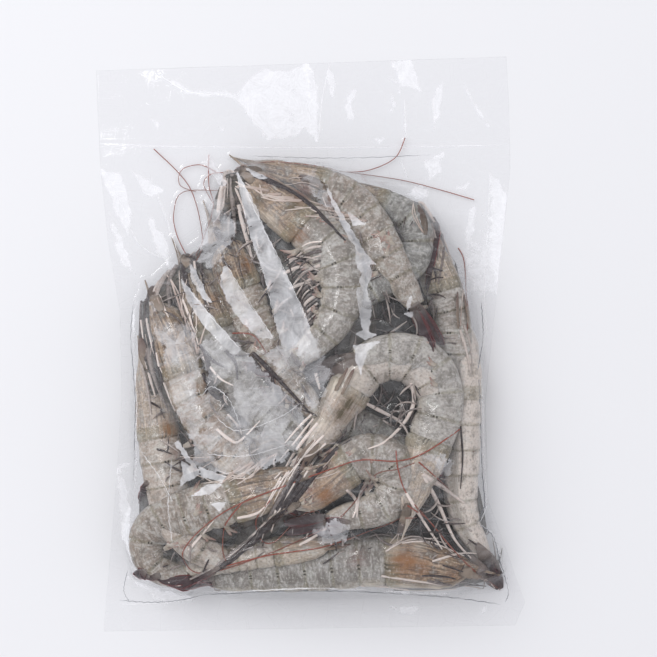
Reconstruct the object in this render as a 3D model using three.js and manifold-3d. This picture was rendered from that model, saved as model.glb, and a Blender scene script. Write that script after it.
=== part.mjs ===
// Clear sealed bag, laid flat, packed tight with whole raw shrimp.
// Millimetres, Z up, bag bottom on z = 0, bag head towards +Y.
// Places are measured on a straight-down view whose unit is PX; u runs to the right and v downwards.
import * as THREE from 'three';
import Module from 'manifold-3d';

const wasm = await Module();
wasm.setup();

// Driving sizes
const PX = 0.487;               // mm to one unit of the straight-down view
const CENTRE_U = 310.77;        // middle of the bag in that view
const CENTRE_V = 344;
const FILM_PLATE = 0.8;         // two film layers pressed flat
const HEAD_WAVE = 1.1;          // rise of the waves in the empty bag head
const WELD_V = 150;             // seam across the bag head
const WELD_WIDE = 9;            // width of the seam, mm
const WELD_RISE = 0.5;
const PILE_HIGH = 42;           // highest point of the packed bag
const PILE_EDGE = 13;           // how fast the pile climbs from its edge, mm
const CORE_DROP = 7;            // depth of the grooves between shrimp
const NECK = 0.345;             // where the head shell ends, share of the length
const TAIL = 0.86;              // where the tail fan starts
const SIDES = 8;                // sides of a shrimp's section

// Edge of the film: v, left u, right u
const FILM_EDGE = [[57, 96, 506], [110, 98, 509], [170, 101, 510], [240, 108, 503], [310, 120, 495],
  [400, 122, 485], [500, 115, 488], [560, 110, 510], [605, 106, 525], [631, 104, 515]];

// Corners of the pile of shrimp inside
const PILE = [[222, 166], [350, 174], [428, 200], [462, 262], [477, 345], [480, 480], [508, 592],
  [350, 597], [205, 594], [136, 574], [134, 480], [137, 300], [172, 264], [212, 232]];

// Back, belly and flank outlines along a shrimp, as shares of its length
const STATION = [0, 0.05, 0.085, 0.10, 0.13, 0.17, 0.25, 0.345, 0.43, 0.50, 0.58, 0.66, 0.745, 0.80, 0.86, 0.93, 1];
const BACK = [0.026, 0.030, 0.036, 0.041, 0.052, 0.062, 0.074, 0.080, 0.083, 0.081, 0.077, 0.069, 0.057, 0.049, 0.034, 0.034, 0.012];
const BELLY = [-0.022, -0.020, -0.010, 0.016, 0.048, 0.066, 0.076, 0.074, 0.073, 0.072, 0.068, 0.060, 0.048, 0.041, 0.028, 0.030, 0.008];
const FLANK = [0.003, 0.004, 0.006, 0.014, 0.032, 0.046, 0.057, 0.059, 0.060, 0.058, 0.055, 0.050, 0.040, 0.034, 0.021, 0.014, 0.005];

// Shrimp that show: neck u, v, heading, curl, curl start, curl end, back side, length, sink, roll
const SHRIMP = {
  top_edge: [323, 193, 163, 43, 0.28, 0.60, 1, 140, 2, 0],
  upper_big: [305, 228, 140, 100, 0.33, 0.84, 1, 148, 0, 0],
  upper_brown: [243, 290, 110, 22, 0.35, 0.80, -1, 138, 5, 0],
  upper_dark: [219, 330, 113, 30, 0.35, 0.80, -1, 146, 4, 0],
  left_pale: [190, 372, 112, 25, 0.35, 0.80, -1, 144, 3, 0],
  left_edge: [164, 436, 100, 60, 0.50, 0.86, -1, 146, 5, 0],
  lower_left: [233, 497, 18, 160, 0.52, 0.86, -1, 146, 0, 0],
  bottom_edge: [384, 557, -17, 24, 0.10, 0.45, -1, 162, 0, 0],
  centre: [352, 386, 238, 120, 0.33, 0.70, 1, 140, 2, 35],
  right_big: [427, 437, 250, 130, 0.36, 0.86, -1, 143, 0, 0],
  lower_arch: [350, 460, 218, 205, 0.30, 0.74, 1, 136, 1, 0],
  right_edge: [461, 398, 89, 30, 0.60, 0.80, -1, 153, 2, 70],
  right_upper: [440, 292, 108, 20, 0.33, 0.60, 1, 128, 5, 0],
  behind_top: [383, 213, 160, 125, 0.33, 0.66, 1, 132, 5, 0],
  under_arch: [312, 436, 60, 60, 0.33, 0.80, -1, 116, 13, -50],
  corner_tail: [275, 548, 8, 6, 0.35, 0.70, -1, 110, 4, -60],
  middle_veiled: [285, 430, 200, 50, 0.33, 0.70, 1, 138, 7, 0],
};

const mm = (u, v) => [(u - CENTRE_U) * PX, (CENTRE_V - v) * PX];
const smooth = (t) => { const c = Math.min(1, Math.max(0, t)); return c * c * (3 - 2 * c); };

function between(xs, ys, x) {
  let k = 0;
  while (k < xs.length - 2 && x > xs[k + 1]) k += 1;
  const t = Math.min(1, Math.max(0, (x - xs[k]) / (xs[k + 1] - xs[k])));
  return ys[k] + (ys[k + 1] - ys[k]) * t;
}

// Distance inside the pile's edge, in mm, negative outside
const CORNERS = PILE.map(([u, v]) => mm(u, v));
function inside(x, y) {
  let near = Infinity;
  let hit = false;
  CORNERS.forEach(([ax, ay], i) => {
    const [bx, by] = CORNERS[(i + 1) % CORNERS.length];
    const t = Math.min(1, Math.max(0, ((x - ax) * (bx - ax) + (y - ay) * (by - ay)) / ((bx - ax) ** 2 + (by - ay) ** 2)));
    near = Math.min(near, Math.hypot(x - ax - t * (bx - ax), y - ay - t * (by - ay)));
    if ((ay > y) !== (by > y) && x < ((bx - ax) * (y - ay)) / (by - ay) + ax) hit = !hit;
  });
  return hit ? near : -near;
}
const mound = (x, y) => PILE_HIGH * (1 - Math.exp(-Math.max(0, inside(x, y)) / PILE_EDGE));

// A closed skin over rings of equal length, with a fan at each end
function skin(rings) {
  const n = rings[0].length;
  const points = rings.flat();
  const faces = [];
  for (let r = 0; r < rings.length - 1; r += 1) {
    for (let k = 0; k < n; k += 1) {
      const a = r * n + k;
      const b = r * n + ((k + 1) % n);
      faces.push(a, b, b + n, a, b + n, a + n);
    }
  }
  const middle = (ring) => ring.reduce((s, p) => s.map((c, i) => c + p[i] / n), [0, 0, 0]);
  const first = points.push(middle(rings[0])) - 1;
  const last = points.push(middle(rings[rings.length - 1])) - 1;
  for (let k = 0; k < n; k += 1) {
    faces.push(first, (k + 1) % n, k);
    faces.push(last, (rings.length - 1) * n + k, (rings.length - 1) * n + ((k + 1) % n));
  }
  return solid(points, faces);
}

// A closed block: a grid of top heights over flat z = 0
function block(xs, top) {
  const rows = xs.length;
  const cols = xs[0].length;
  const points = [];
  const faces = [];
  xs.forEach((row) => row.forEach(([x, y]) => points.push([x, y, top(x, y)])));
  xs.forEach((row) => row.forEach(([x, y]) => points.push([x, y, 0])));
  const at = (r, c, level) => level * rows * cols + r * cols + c;
  for (let r = 0; r < rows - 1; r += 1) {
    for (let c = 0; c < cols - 1; c += 1) {
      faces.push(at(r, c, 0), at(r, c + 1, 0), at(r + 1, c + 1, 0), at(r, c, 0), at(r + 1, c + 1, 0), at(r + 1, c, 0));
      faces.push(at(r, c, 1), at(r + 1, c + 1, 1), at(r, c + 1, 1), at(r, c, 1), at(r + 1, c, 1), at(r + 1, c + 1, 1));
    }
  }
  const wall = (p, q) => faces.push(at(...p, 0), at(...q, 1), at(...q, 0), at(...p, 0), at(...p, 1), at(...q, 1));
  for (let c = 0; c < cols - 1; c += 1) {
    wall([0, c], [0, c + 1]);
    wall([rows - 1, c + 1], [rows - 1, c]);
  }
  for (let r = 0; r < rows - 1; r += 1) {
    wall([r + 1, 0], [r, 0]);
    wall([r, cols - 1], [r + 1, cols - 1]);
  }
  return solid(points, faces);
}

function solid(points, faces) {
  const make = (f) => new wasm.Manifold(new wasm.Mesh({
    numProp: 3, vertProperties: new Float32Array(points.flat()), triVerts: new Uint32Array(f),
  }));
  const made = make(faces);
  if (made.volume() > 0) return made;
  const turned = [];
  for (let i = 0; i < faces.length; i += 3) turned.push(faces[i], faces[i + 2], faces[i + 1]);
  return make(turned);
}

// Film: a thin sheet with gentle waves in the head and a raised seam
function film() {
  const vs = FILM_EDGE.map((e) => e[0]);
  const grid = [];
  const cols = 16;
  const rows = vs.slice(1).flatMap((v, i) => [0, 1, 2].map((k) => vs[i] + ((v - vs[i]) * k) / 3));
  [...rows, vs[vs.length - 1]].forEach((at, r) => {
    const t = (at - vs[0]) / (vs[vs.length - 1] - vs[0]);
    const row = [];
    for (let c = 0; c <= cols; c += 1) {
      const s = c / cols;
      const v = at + (r === 0 ? 14 * (1 - s) : 0);
      const left = between(vs, FILM_EDGE.map((e) => e[1]), v);
      const right = between(vs, FILM_EDGE.map((e) => e[2]), v);
      row.push(mm(left + (right - left) * s, v - 6 * s * smooth((t - 0.9) / 0.1)));
    }
    grid.push(row);
  });
  const weld = mm(0, WELD_V)[1];
  return block(grid, (x, y) => {
    const head = smooth((y - 70) / 25);
    const wave = 0.5 + 0.5 * Math.sin(x / 11 + 0.6 * Math.sin(y / 9)) * Math.cos(y / 17 + x / 40);
    const seam = Math.abs(y - weld) < WELD_WIDE / 2 ? WELD_RISE : 0;
    return FILM_PLATE + HEAD_WAVE * wave * (0.25 + 0.75 * head) + seam;
  });
}

// Core: the packed middle of the pile, a little lower than the shrimp on it
function core() {
  const rings = 7;
  const around = 56;
  const [mx, my] = mm(310, 390);
  const edge = [];
  for (let k = 0; k < around; k += 1) {
    const a = (2 * Math.PI * k) / around;
    let reach = 0;
    while (inside(mx + Math.cos(a) * reach, my + Math.sin(a) * reach) > 2.5) reach += 0.5;
    edge.push([Math.cos(a) * reach, Math.sin(a) * reach]);
  }
  const points = [[mx, my, mound(mx, my) - CORE_DROP], [mx, my, 0]];
  const faces = [];
  for (let r = 1; r <= rings; r += 1) {
    const share = Math.sin((Math.PI / 2) * (r / rings));
    edge.forEach(([x, y]) => {
      const px = mx + x * share;
      const py = my + y * share;
      points.push([px, py, Math.max(3, mound(px, py) - CORE_DROP)]);
    });
  }
  const base = points.length;
  edge.forEach(([x, y]) => points.push([mx + x, my + y, 0]));
  const at = (r, k) => 2 + (r - 1) * around + (k % around);
  for (let k = 0; k < around; k += 1) {
    faces.push(0, at(1, k), at(1, k + 1), 1, base + ((k + 1) % around), base + k);
    for (let r = 1; r < rings; r += 1) {
      faces.push(at(r, k), at(r + 1, k), at(r + 1, k + 1), at(r, k), at(r + 1, k + 1), at(r, k + 1));
    }
    const k2 = (k + 1) % around;
    faces.push(at(rings, k), base + k, base + k2, at(rings, k), base + k2, at(rings, k2));
  }
  return solid(points, faces);
}

// One shrimp under the film: domed sections down to the floor, from rostrum to tail fan along a curl
function shrimp([u, v, heading, curl, start, end, back, length, sink, roll]) {
  const fine = 120;
  const path = [];
  let [x, y] = [0, 0];
  for (let i = 0; i <= fine; i += 1) {
    const s = i / fine;
    const a = THREE.MathUtils.degToRad(heading + 180 - back * curl * smooth((s - start) / (end - start)));
    path.push([x, y, a]);
    x += (Math.cos(a) * length) / fine;
    y += (Math.sin(a) * length) / fine;
  }
  const [nx, ny] = path[Math.round(NECK * fine)];
  const [ox, oy] = mm(u, v);
  const tilt = THREE.MathUtils.degToRad(roll);
  const rings = STATION.map((s, i) => {
    const [px, py, a] = path[Math.round(s * fine)];
    const cx = px - nx + ox;
    const cy = py - ny + oy;
    const half = ((BACK[i] + BELLY[i]) / 2) * length;
    const shift = ((BACK[i] - BELLY[i]) / 2) * length;
    const wide = FLANK[i] * length;
    const high = Math.hypot(wide * Math.cos(tilt), half * Math.sin(tilt));
    const broad = Math.hypot(half * Math.cos(tilt), wide * Math.sin(tilt));
    const cz = Math.max(high + 1, mound(cx, cy) - high - sink);
    const off = shift * Math.cos(tilt);
    const ring = [];
    for (let k = 0; k < SIDES; k += 1) {
      const t = (2 * Math.PI * (k + 0.5)) / SIDES;
      const out = back * (off + broad * Math.cos(t));
      ring.push([cx - Math.sin(a) * out, cy + Math.cos(a) * out, Math.sin(t) < 0 ? 0.2 : cz + high * Math.sin(t)]);
    }
    return ring;
  });
  return rings.slice(1).map((ring, i) => skin([rings[i], ring])).reduce((a, b) => a.add(b));
}

let whole = film().add(core());
Object.values(SHRIMP).forEach((entry) => { whole = whole.add(shrimp(entry)); });

const mesh = whole.simplify(0.03).getMesh();
const geometry = new THREE.BufferGeometry();
geometry.setAttribute('position', new THREE.BufferAttribute(new Float32Array(mesh.vertProperties), 3));
geometry.setIndex(new THREE.BufferAttribute(new Uint32Array(mesh.triVerts), 1));
geometry.computeBoundingBox();
const { min, max } = geometry.boundingBox;
geometry.translate(-(min.x + max.x) / 2, -(min.y + max.y) / 2, -min.z);
geometry.computeVertexNormals();

const finish = new THREE.MeshStandardMaterial({ color: '#b3ab9f', roughness: 0.25, metalness: 0 });
const bag = new THREE.Mesh(geometry, finish);
bag.name = 'sealed_bag';

const group = new THREE.Group();
group.name = 'sealed_bag_of_shrimp';
group.add(bag);

export default group;
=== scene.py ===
"""Clear sealed bag of whole raw shrimp, lying flat, seen from straight above.

Each shrimp is an oval section swept along a centreline. The centreline's direction at a share s of the
length is: heading + 180 degrees, turned by curl times an S-shaped step between two shares of the length.
Each shrimp's height above the floor follows the mound, which is the pile's greatest height times
(1 - exp(-distance inside the pile's edge / edge width)).
The film is a height map: the least height that stays above the shrimp, found by averaging each point with
its four neighbours, pressing it down a little, lifting it back onto what it rests on, and repeating.
Where the film stands clear of the wet shrimp in a crease, its reflections are painted on as white: each
such patch is an outline, and the distance inside it, with a little noise, decides where its sharp edge
runs.
"""

# %% [markdown]
# A vacuum bag has no moving parts, so the whole object is one rigid body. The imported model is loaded
# first, because its box gives the place and the size that every Blender piece has to keep.

# %% Load the frame
import math
import bpy
import numpy as np
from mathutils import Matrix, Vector


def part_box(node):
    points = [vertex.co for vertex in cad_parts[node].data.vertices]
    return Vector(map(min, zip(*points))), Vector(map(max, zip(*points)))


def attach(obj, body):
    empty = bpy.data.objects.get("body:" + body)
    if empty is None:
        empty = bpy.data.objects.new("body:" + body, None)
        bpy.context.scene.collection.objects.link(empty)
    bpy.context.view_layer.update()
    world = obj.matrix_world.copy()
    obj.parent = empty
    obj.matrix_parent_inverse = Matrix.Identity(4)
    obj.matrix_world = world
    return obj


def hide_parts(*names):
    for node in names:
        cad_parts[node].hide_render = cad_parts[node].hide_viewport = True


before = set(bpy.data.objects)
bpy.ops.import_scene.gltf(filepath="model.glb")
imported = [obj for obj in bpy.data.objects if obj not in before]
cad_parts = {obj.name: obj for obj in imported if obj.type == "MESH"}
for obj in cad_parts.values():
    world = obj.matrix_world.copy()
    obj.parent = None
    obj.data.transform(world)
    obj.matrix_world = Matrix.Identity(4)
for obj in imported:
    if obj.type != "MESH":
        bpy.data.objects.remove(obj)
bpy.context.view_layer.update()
NODE = "sealed_bag"
low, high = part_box(NODE)
print("frame box, mm", [round(1000 * (b - a), 1) for a, b in zip(low, high)])

# %% [markdown]
# Sizes are in millimetres, and places are in the units of a straight-down view, u to the right and v
# downwards. A unit is 0.487 mm, which makes this a common 20 by 28 cm bag. One function turns a place into
# metres in the frame. The pile's and the film's outlines have only the points that their shape needs.

# %% Named sizes
MM = 0.001
UNIT = 0.487 * MM
CENTRE_U, CENTRE_V = 310.77, 344.0
PILE_HIGH = 42 * MM
PILE_EDGE = 13 * MM
NECK, TAIL = 0.345, 0.86
WELD_V = 150
RNG = np.random.default_rng(20)

PILE = np.array([
    (222, 166), (350, 174), (428, 200), (462, 262), (477, 345), (480, 480), (508, 592),
    (350, 597), (205, 594), (136, 574), (134, 480), (137, 300), (172, 264), (212, 232)], float)
FILM_EDGE = np.array([
    (57, 96, 506), (110, 98, 509), (170, 101, 510), (240, 108, 503), (310, 120, 495),
    (400, 122, 485), (500, 115, 488), (560, 110, 510), (605, 106, 525), (631, 104, 515)], float)


print("pile's width and length, mm", np.round(np.ptp(PILE, axis=0) * UNIT / MM))
print("film's widest, mm", round(float(np.max(FILM_EDGE[:, 2] - FILM_EDGE[:, 1])) * UNIT / MM, 1))

# %% [markdown]
# Four small functions do most of the placing: a place as metres, an S-shaped step, the distance inside an
# outline, and the mound's height. A packed pile is flat on top and falls off steeply near its edge, which
# an exponential of the distance inside gives with two numbers, its height and the width of its edge.

# %% Places, distances and the mound
def place(uv):
    """Places in the straight-down view, as metres in the frame."""
    uv = np.asarray(uv, float)
    return np.stack([(uv[..., 0] - CENTRE_U) * UNIT, (CENTRE_V - uv[..., 1]) * UNIT], -1)


def smooth(t):
    """An S-shaped step from 0 to 1: the square of t times (3 - 2 t)."""
    t = np.clip(t, 0, 1)
    return t * t * (3 - 2 * t)


def evened(values, reach):
    """Each value becomes the mean of itself and of as many neighbours as reach on either side."""
    many = 2 * reach + 1
    return np.convolve(np.pad(values, reach, mode="edge"), np.ones(many) / many, "valid")


def inside(xy, corners):
    """Distance to the nearest side of a closed outline, negative outside it.

    A place is inside if a line from it to the right crosses the outline an odd number of times.
    """
    near = np.full(xy.shape[:-1], np.inf)
    hit = np.zeros(xy.shape[:-1], bool)
    for a, b in zip(corners, np.roll(corners, -1, 0)):
        t = np.clip(((xy - a) @ (b - a)) / ((b - a) @ (b - a)), 0, 1)
        near = np.minimum(near, np.linalg.norm(xy - a - t[..., None] * (b - a), axis=-1))
        cross = (a[1] > xy[..., 1]) != (b[1] > xy[..., 1])
        run = (b[0] - a[0]) * (xy[..., 1] - a[1]) / (b[1] - a[1] + 1e-12) + a[0]
        hit ^= cross & (xy[..., 0] < run)
    return np.where(hit, near, -near)


PILE_XY = place(PILE)


def mound(xy):
    """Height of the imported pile: its greatest height times (1 - exp(-distance inside / edge width))."""
    return PILE_HIGH * (1 - np.exp(-np.maximum(0, inside(xy, PILE_XY)) / PILE_EDGE))


print("pile height in the middle, mm", round(1000 * float(mound(place([310, 390]))), 1))

# %% [markdown]
# A whiteleg shrimp is about as deep as it is long divided by seven. Its head shell is a third of its
# length, six belly rings follow, and a fan of five blades closes it. Sculpting seventeen of them by hand
# would take days, so the back, the belly and the flank are given once, as shares of the length, and each
# shrimp bends this one outline along its own curl.

# %% Outline of one shrimp
STATION = np.array([
    0, .05, .085, .10, .13, .17, .25, .33,
    .345, .43, .50, .58, .66, .745, .80, .86])
BACK = np.array([
    .026, .030, .036, .041, .052, .062, .074, .080,
    .080, .083, .081, .077, .069, .057, .049, .034])
BELLY = np.array([
    -.022, -.020, -.010, .016, .048, .066, .076, .078,
    .074, .073, .072, .068, .060, .048, .041, .028])
SPREAD = np.array([
    .002, .003, .006, .014, .032, .046, .057, .060,
    .059, .060, .058, .055, .050, .040, .034, .021])
RING_ENDS = np.array([0.345, 0.425, 0.505, 0.585, 0.665, 0.745, 0.86])
print("stations", len(STATION), "belly rings", len(RING_ENDS) - 1)

# %% [markdown]
# Seventeen shrimp can be told apart in the bag. Each is one row of a table, because the same few measures
# place them all: where its neck lies, where its head points, how far it curls and between which shares of
# its length, on which side its back is, how long it is, how deep it is sunk, and how far it rolls over.

# %% Table of the shrimp
# Neck u, v, heading, curl, curl start, curl end, back side, length mm, sink mm, roll
SHRIMP = {
    "top_edge": (323, 193, 163, 43, 0.28, 0.60, 1, 140, 2, 0),
    "upper_big": (305, 228, 140, 100, 0.33, 0.84, 1, 148, 0, 0),
    "upper_brown": (243, 290, 110, 22, 0.35, 0.80, -1, 138, 5, 0),
    "upper_dark": (219, 330, 113, 30, 0.35, 0.80, -1, 146, 4, 0),
    "left_pale": (190, 372, 112, 25, 0.35, 0.80, -1, 144, 3, 0),
    "left_edge": (164, 436, 100, 60, 0.50, 0.86, -1, 146, 5, 0),
    "lower_left": (233, 497, 18, 160, 0.52, 0.86, -1, 146, 0, 0),
    "bottom_edge": (384, 557, -17, 24, 0.10, 0.45, -1, 162, 0, 0),
    "centre": (352, 386, 238, 120, 0.33, 0.70, 1, 140, 2, 35),
    "right_big": (427, 437, 250, 130, 0.36, 0.86, -1, 143, 0, 0),
    "lower_arch": (350, 460, 218, 205, 0.30, 0.74, 1, 136, 1, 0),
    "right_edge": (461, 398, 89, 30, 0.60, 0.80, -1, 153, 2, 70),
    "right_upper": (440, 292, 108, 20, 0.33, 0.60, 1, 128, 5, 0),
    "behind_top": (383, 213, 160, 125, 0.33, 0.66, 1, 132, 5, 0),
    "under_arch": (312, 436, 60, 60, 0.33, 0.80, -1, 116, 13, -50),
    "corner_tail": (275, 548, 8, 6, 0.35, 0.70, -1, 110, 4, -60),
    "middle_veiled": (285, 430, 200, 50, 0.33, 0.70, 1, 138, 7, 0),
}
SIDE, LENGTH, ROLL = 6, 7, 9
lengths = [entry[LENGTH] for entry in SHRIMP.values()]
print("shrimp", len(SHRIMP), "from", min(lengths), "to", max(lengths), "mm long")


# %% [markdown]
# A shrimp curls in its own plane, so its centreline could be an arc. Real ones stay straight at the head
# and curl behind it, so the direction turns by a smooth step instead, and the places are the running sum
# of the directions.

# %% Centreline of one shrimp
def centreline(entry, s):
    """Places and directions of a shrimp's centre at the shares s of its length.

    Its direction turns by the curl between two shares, its place is the running sum of its directions,
    and its height is the mound's, less half its own thickness and its sink, evened along its length.
    """
    u, v, heading, curl, start, end, back, length, sink, roll = entry
    fine = np.linspace(0, 1, 241)
    angle = np.radians(heading + 180 - back * curl * smooth((fine - start) / (end - start)))
    step = length * MM / 240
    x = np.concatenate([[0], np.cumsum(np.cos(angle[:-1]) * step)])
    y = np.concatenate([[0], np.cumsum(np.sin(angle[:-1]) * step)])
    xy = np.stack([x - np.interp(NECK, fine, x), y - np.interp(NECK, fine, y)], -1) + place((u, v))
    tilt = math.radians(roll)
    wide = np.interp(fine, STATION, SPREAD) * length * MM
    deep = np.interp(fine, STATION, BACK) * length * MM
    tall = np.hypot(wide * math.cos(tilt), deep * math.sin(tilt))
    z = np.maximum(tall + MM, mound(xy) - tall - sink * MM)
    z = evened(z, 12)
    pick = [np.interp(s, fine, part) for part in (xy[:, 0], xy[:, 1], z, angle)]
    return np.stack(pick[:3], -1), pick[3]


def axes_of(entry, angle):
    """Towards the back and towards the flank, for each direction of travel, turned by the roll."""
    back, tilt = entry[SIDE], math.radians(entry[ROLL])
    left = np.stack([-np.sin(angle), np.cos(angle), 0 * angle], -1)
    ahead = np.stack([np.cos(angle), np.sin(angle), 0 * angle], -1)
    up = np.array([0, 0, 1.0])
    to_back = back * left * math.cos(tilt) + up * math.sin(tilt)
    return to_back, np.cross(ahead, to_back)


tip = centreline(SHRIMP["bottom_edge"], np.array([0.0]))[0][0]
print("rostrum of the bottom shrimp, mm", np.round(tip / MM, 1))

# %% [markdown]
# Thousands of thin pieces would be slow as objects of their own. So the pieces of one kind are gathered
# as arrays of points, faces and named values, and written into one mesh. The values become attributes,
# which the finishes read. One helper carries an oval section along a line, another closes its two ends.

# %% Mesh helpers
class Heap:
    """Points, faces and attributes of one kind of piece."""

    def __init__(self, *names):
        self.names = names
        self.points, self.quads, self.tris = [], [], []
        self.values = {name: [] for name in names}
        self.count = 0

    def add(self, points, quads, tris, **values):
        """Takes in one closed shape. A value is a number for each point, or one for all of them."""
        self.points.append(points)
        self.quads.append(quads + self.count)
        self.tris.append(tris + self.count)
        for name in self.names:
            self.values[name].append(np.broadcast_to(values.get(name, 0.0), len(points)).astype(float))
        self.count += len(points)

    def mesh(self, name):
        """Writes everything gathered into one smooth-shaded object."""
        points = np.concatenate(self.points)
        quads = np.concatenate(self.quads).reshape(-1, 4)
        tris = np.concatenate(self.tris).reshape(-1, 3)
        mesh = bpy.data.meshes.new(name)
        mesh.vertices.add(len(points))
        mesh.vertices.foreach_set("co", points.astype(np.float32).ravel())
        mesh.loops.add(quads.size + tris.size)
        corners = np.concatenate([quads.ravel(), tris.ravel()])
        mesh.loops.foreach_set("vertex_index", corners.astype(np.int32))
        sizes = np.concatenate([np.full(len(quads), 4), np.full(len(tris), 3)])
        starts = np.concatenate([[0], np.cumsum(sizes)[:-1]])
        mesh.polygons.add(len(sizes))
        mesh.polygons.foreach_set("loop_start", starts.astype(np.int32))
        mesh.update(calc_edges=True)
        mesh.validate()
        for key in self.names:
            layer = mesh.attributes.new(key, "FLOAT", "POINT")
            layer.data.foreach_set("value", np.concatenate(self.values[key]).astype(np.float32))
        mesh.polygons.foreach_set("use_smooth", np.ones(len(mesh.polygons), bool))
        piece = bpy.data.objects.new(name, mesh)
        bpy.context.scene.collection.objects.link(piece)
        return piece


def tube(rings):
    """Faces of a closed tube over rings of equal size, shaped (rings, points, 3)."""
    rows, cols = rings.shape[:2]
    r = np.arange(rows - 1)[:, None] * cols
    k = np.arange(cols)[None, :]
    nxt = (k + 1) % cols
    quads = np.stack([r + k, r + nxt, r + cols + nxt, r + cols + k], -1).reshape(-1, 4)
    points = np.concatenate([rings.reshape(-1, 3), rings[:1].mean(1), rings[-1:].mean(1)])
    first, last = rows * cols, rows * cols + 1
    k, nxt = k[0], nxt[0]
    head = np.stack([np.full(cols, first), nxt, k], -1)
    foot = np.stack([np.full(cols, last), (rows - 1) * cols + k, (rows - 1) * cols + nxt], -1)
    tris = np.concatenate([head, foot])
    centre = points.mean(0)
    a, b, c = (points[quads[:, i]] - centre for i in (0, 1, 2))
    if np.einsum("ij,ij->i", a, np.cross(b, c)).sum() < 0:
        quads, tris = quads[:, ::-1], tris[:, ::-1]
    return points, quads, tris


def sweep(centres, side, lift, half_side, half_lift, cols):
    """Rings of an oval section along a line, with its two half sizes."""
    t = 2 * np.pi * np.arange(cols) / cols
    return (centres[:, None] + side[:, None] * (half_side[:, None, None] * np.cos(t)[None, :, None])
            + lift[:, None] * (half_lift[:, None, None] * np.sin(t)[None, :, None]))


# %% [markdown]
# The shell is a row of overlapping rings, whose side plates hang in rounded lobes, behind a head shell
# with a groove. Rings that are pieces of their own would gape in a tight curl, so they are relief on one
# closed skin: each ring swells towards its rear edge and steps down onto the next.

# %% Shrimp bodies
def ring_share(s):
    """0 at the front edge of each belly ring and 1 at its rear edge, and 0 before the first."""
    k = np.clip(np.searchsorted(RING_ENDS, s, side="right") - 1, 0, len(RING_ENDS) - 2)
    return np.where(s < RING_ENDS[0], 0, (s - RING_ENDS[k]) / (RING_ENDS[k + 1] - RING_ENDS[k]))


def body_rings(entry, rows, cols):
    """A shrimp's body as rings, with its share along, back-to-belly place and rim value."""
    steps = np.concatenate([RING_ENDS[:-1] - 0.0016, RING_ENDS[:-1] + 0.0016])
    s = np.sort(np.concatenate([np.linspace(0, TAIL, rows - len(steps)), steps]))
    centre, angle = centreline(entry, s)
    to_back, to_flank = axes_of(entry, angle)
    length = entry[LENGTH] * MM
    share = np.clip(ring_share(s), 0, 1)
    swell = 0.0030 * np.where(s < RING_ENDS[0], smooth((s - 0.2) / 0.145), share ** 0.7)
    lobe = np.where(s > NECK, 0.006 * (1 - np.sin(np.pi * share)) ** 2, 0)
    back = (np.interp(s, STATION, BACK) + swell) * length
    belly = (np.interp(s, STATION, BELLY) + 0.4 * swell - lobe) * length
    wide = (np.interp(s, STATION, SPREAD) + swell) * length
    groove = 0.004 * np.exp(-((s - 0.20) / 0.012) ** 2) * length
    back, wide = back - groove, wide - 0.6 * groove
    t = 2 * np.pi * np.arange(cols) / cols
    deep = (back - belly)[:, None] / 2 + (back + belly)[:, None] / 2 * np.cos(t)[None]
    flank = wide[:, None] * np.sign(np.sin(t))[None] * np.abs(np.sin(t))[None] ** 0.85
    rings = centre[:, None] + to_back[:, None] * deep[..., None] + to_flank[:, None] * flank[..., None]
    rings[..., 2] = np.maximum(rings[..., 2], 0.6 * MM)
    along = np.repeat(s[:, None], cols, 1)
    depth = np.repeat(np.cos(t)[None], len(s), 0)
    rim = np.exp(-((1 - share) / 0.10) ** 2) + np.exp(-(share / 0.06) ** 2)
    rim = np.repeat(np.where(s > 0.30, rim, 0)[:, None], cols, 1)
    return rings, along, depth, rim


def under_layer():
    """Shrimp packed under those in view: a ring that follows the pile's edge, and a few across it."""
    middle = PILE.mean(0)
    edge = np.concatenate([PILE, PILE[:1]])
    run = np.concatenate([[0], np.cumsum(np.linalg.norm(np.diff(edge, axis=0), axis=1))])
    found = {}
    for k, at in enumerate(np.linspace(0, run[-1], 9, endpoint=False) + 40):
        here = np.array([np.interp(at % run[-1], run, edge[:, i]) for i in (0, 1)])
        ahead = np.array([np.interp((at + 60) % run[-1], run, edge[:, i]) for i in (0, 1)])
        spot = here + (middle - here) * 0.13
        way = ahead - here
        heading = math.degrees(math.atan2(-way[1], way[0])) + 180
        found[f"edge_{k}"] = (*spot, heading, 70, 0.3, 0.8, 1, 138, 22, 0)
    for k in range(9):
        spot = middle + RNG.uniform(-1, 1, 2) * (95, 130)
        found[f"deep_{k}"] = (*spot, RNG.uniform(0, 360), RNG.uniform(20, 120), 0.3, 0.8,
                              int(RNG.choice([-1, 1])), 140, 12, 0)
    return found
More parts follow.
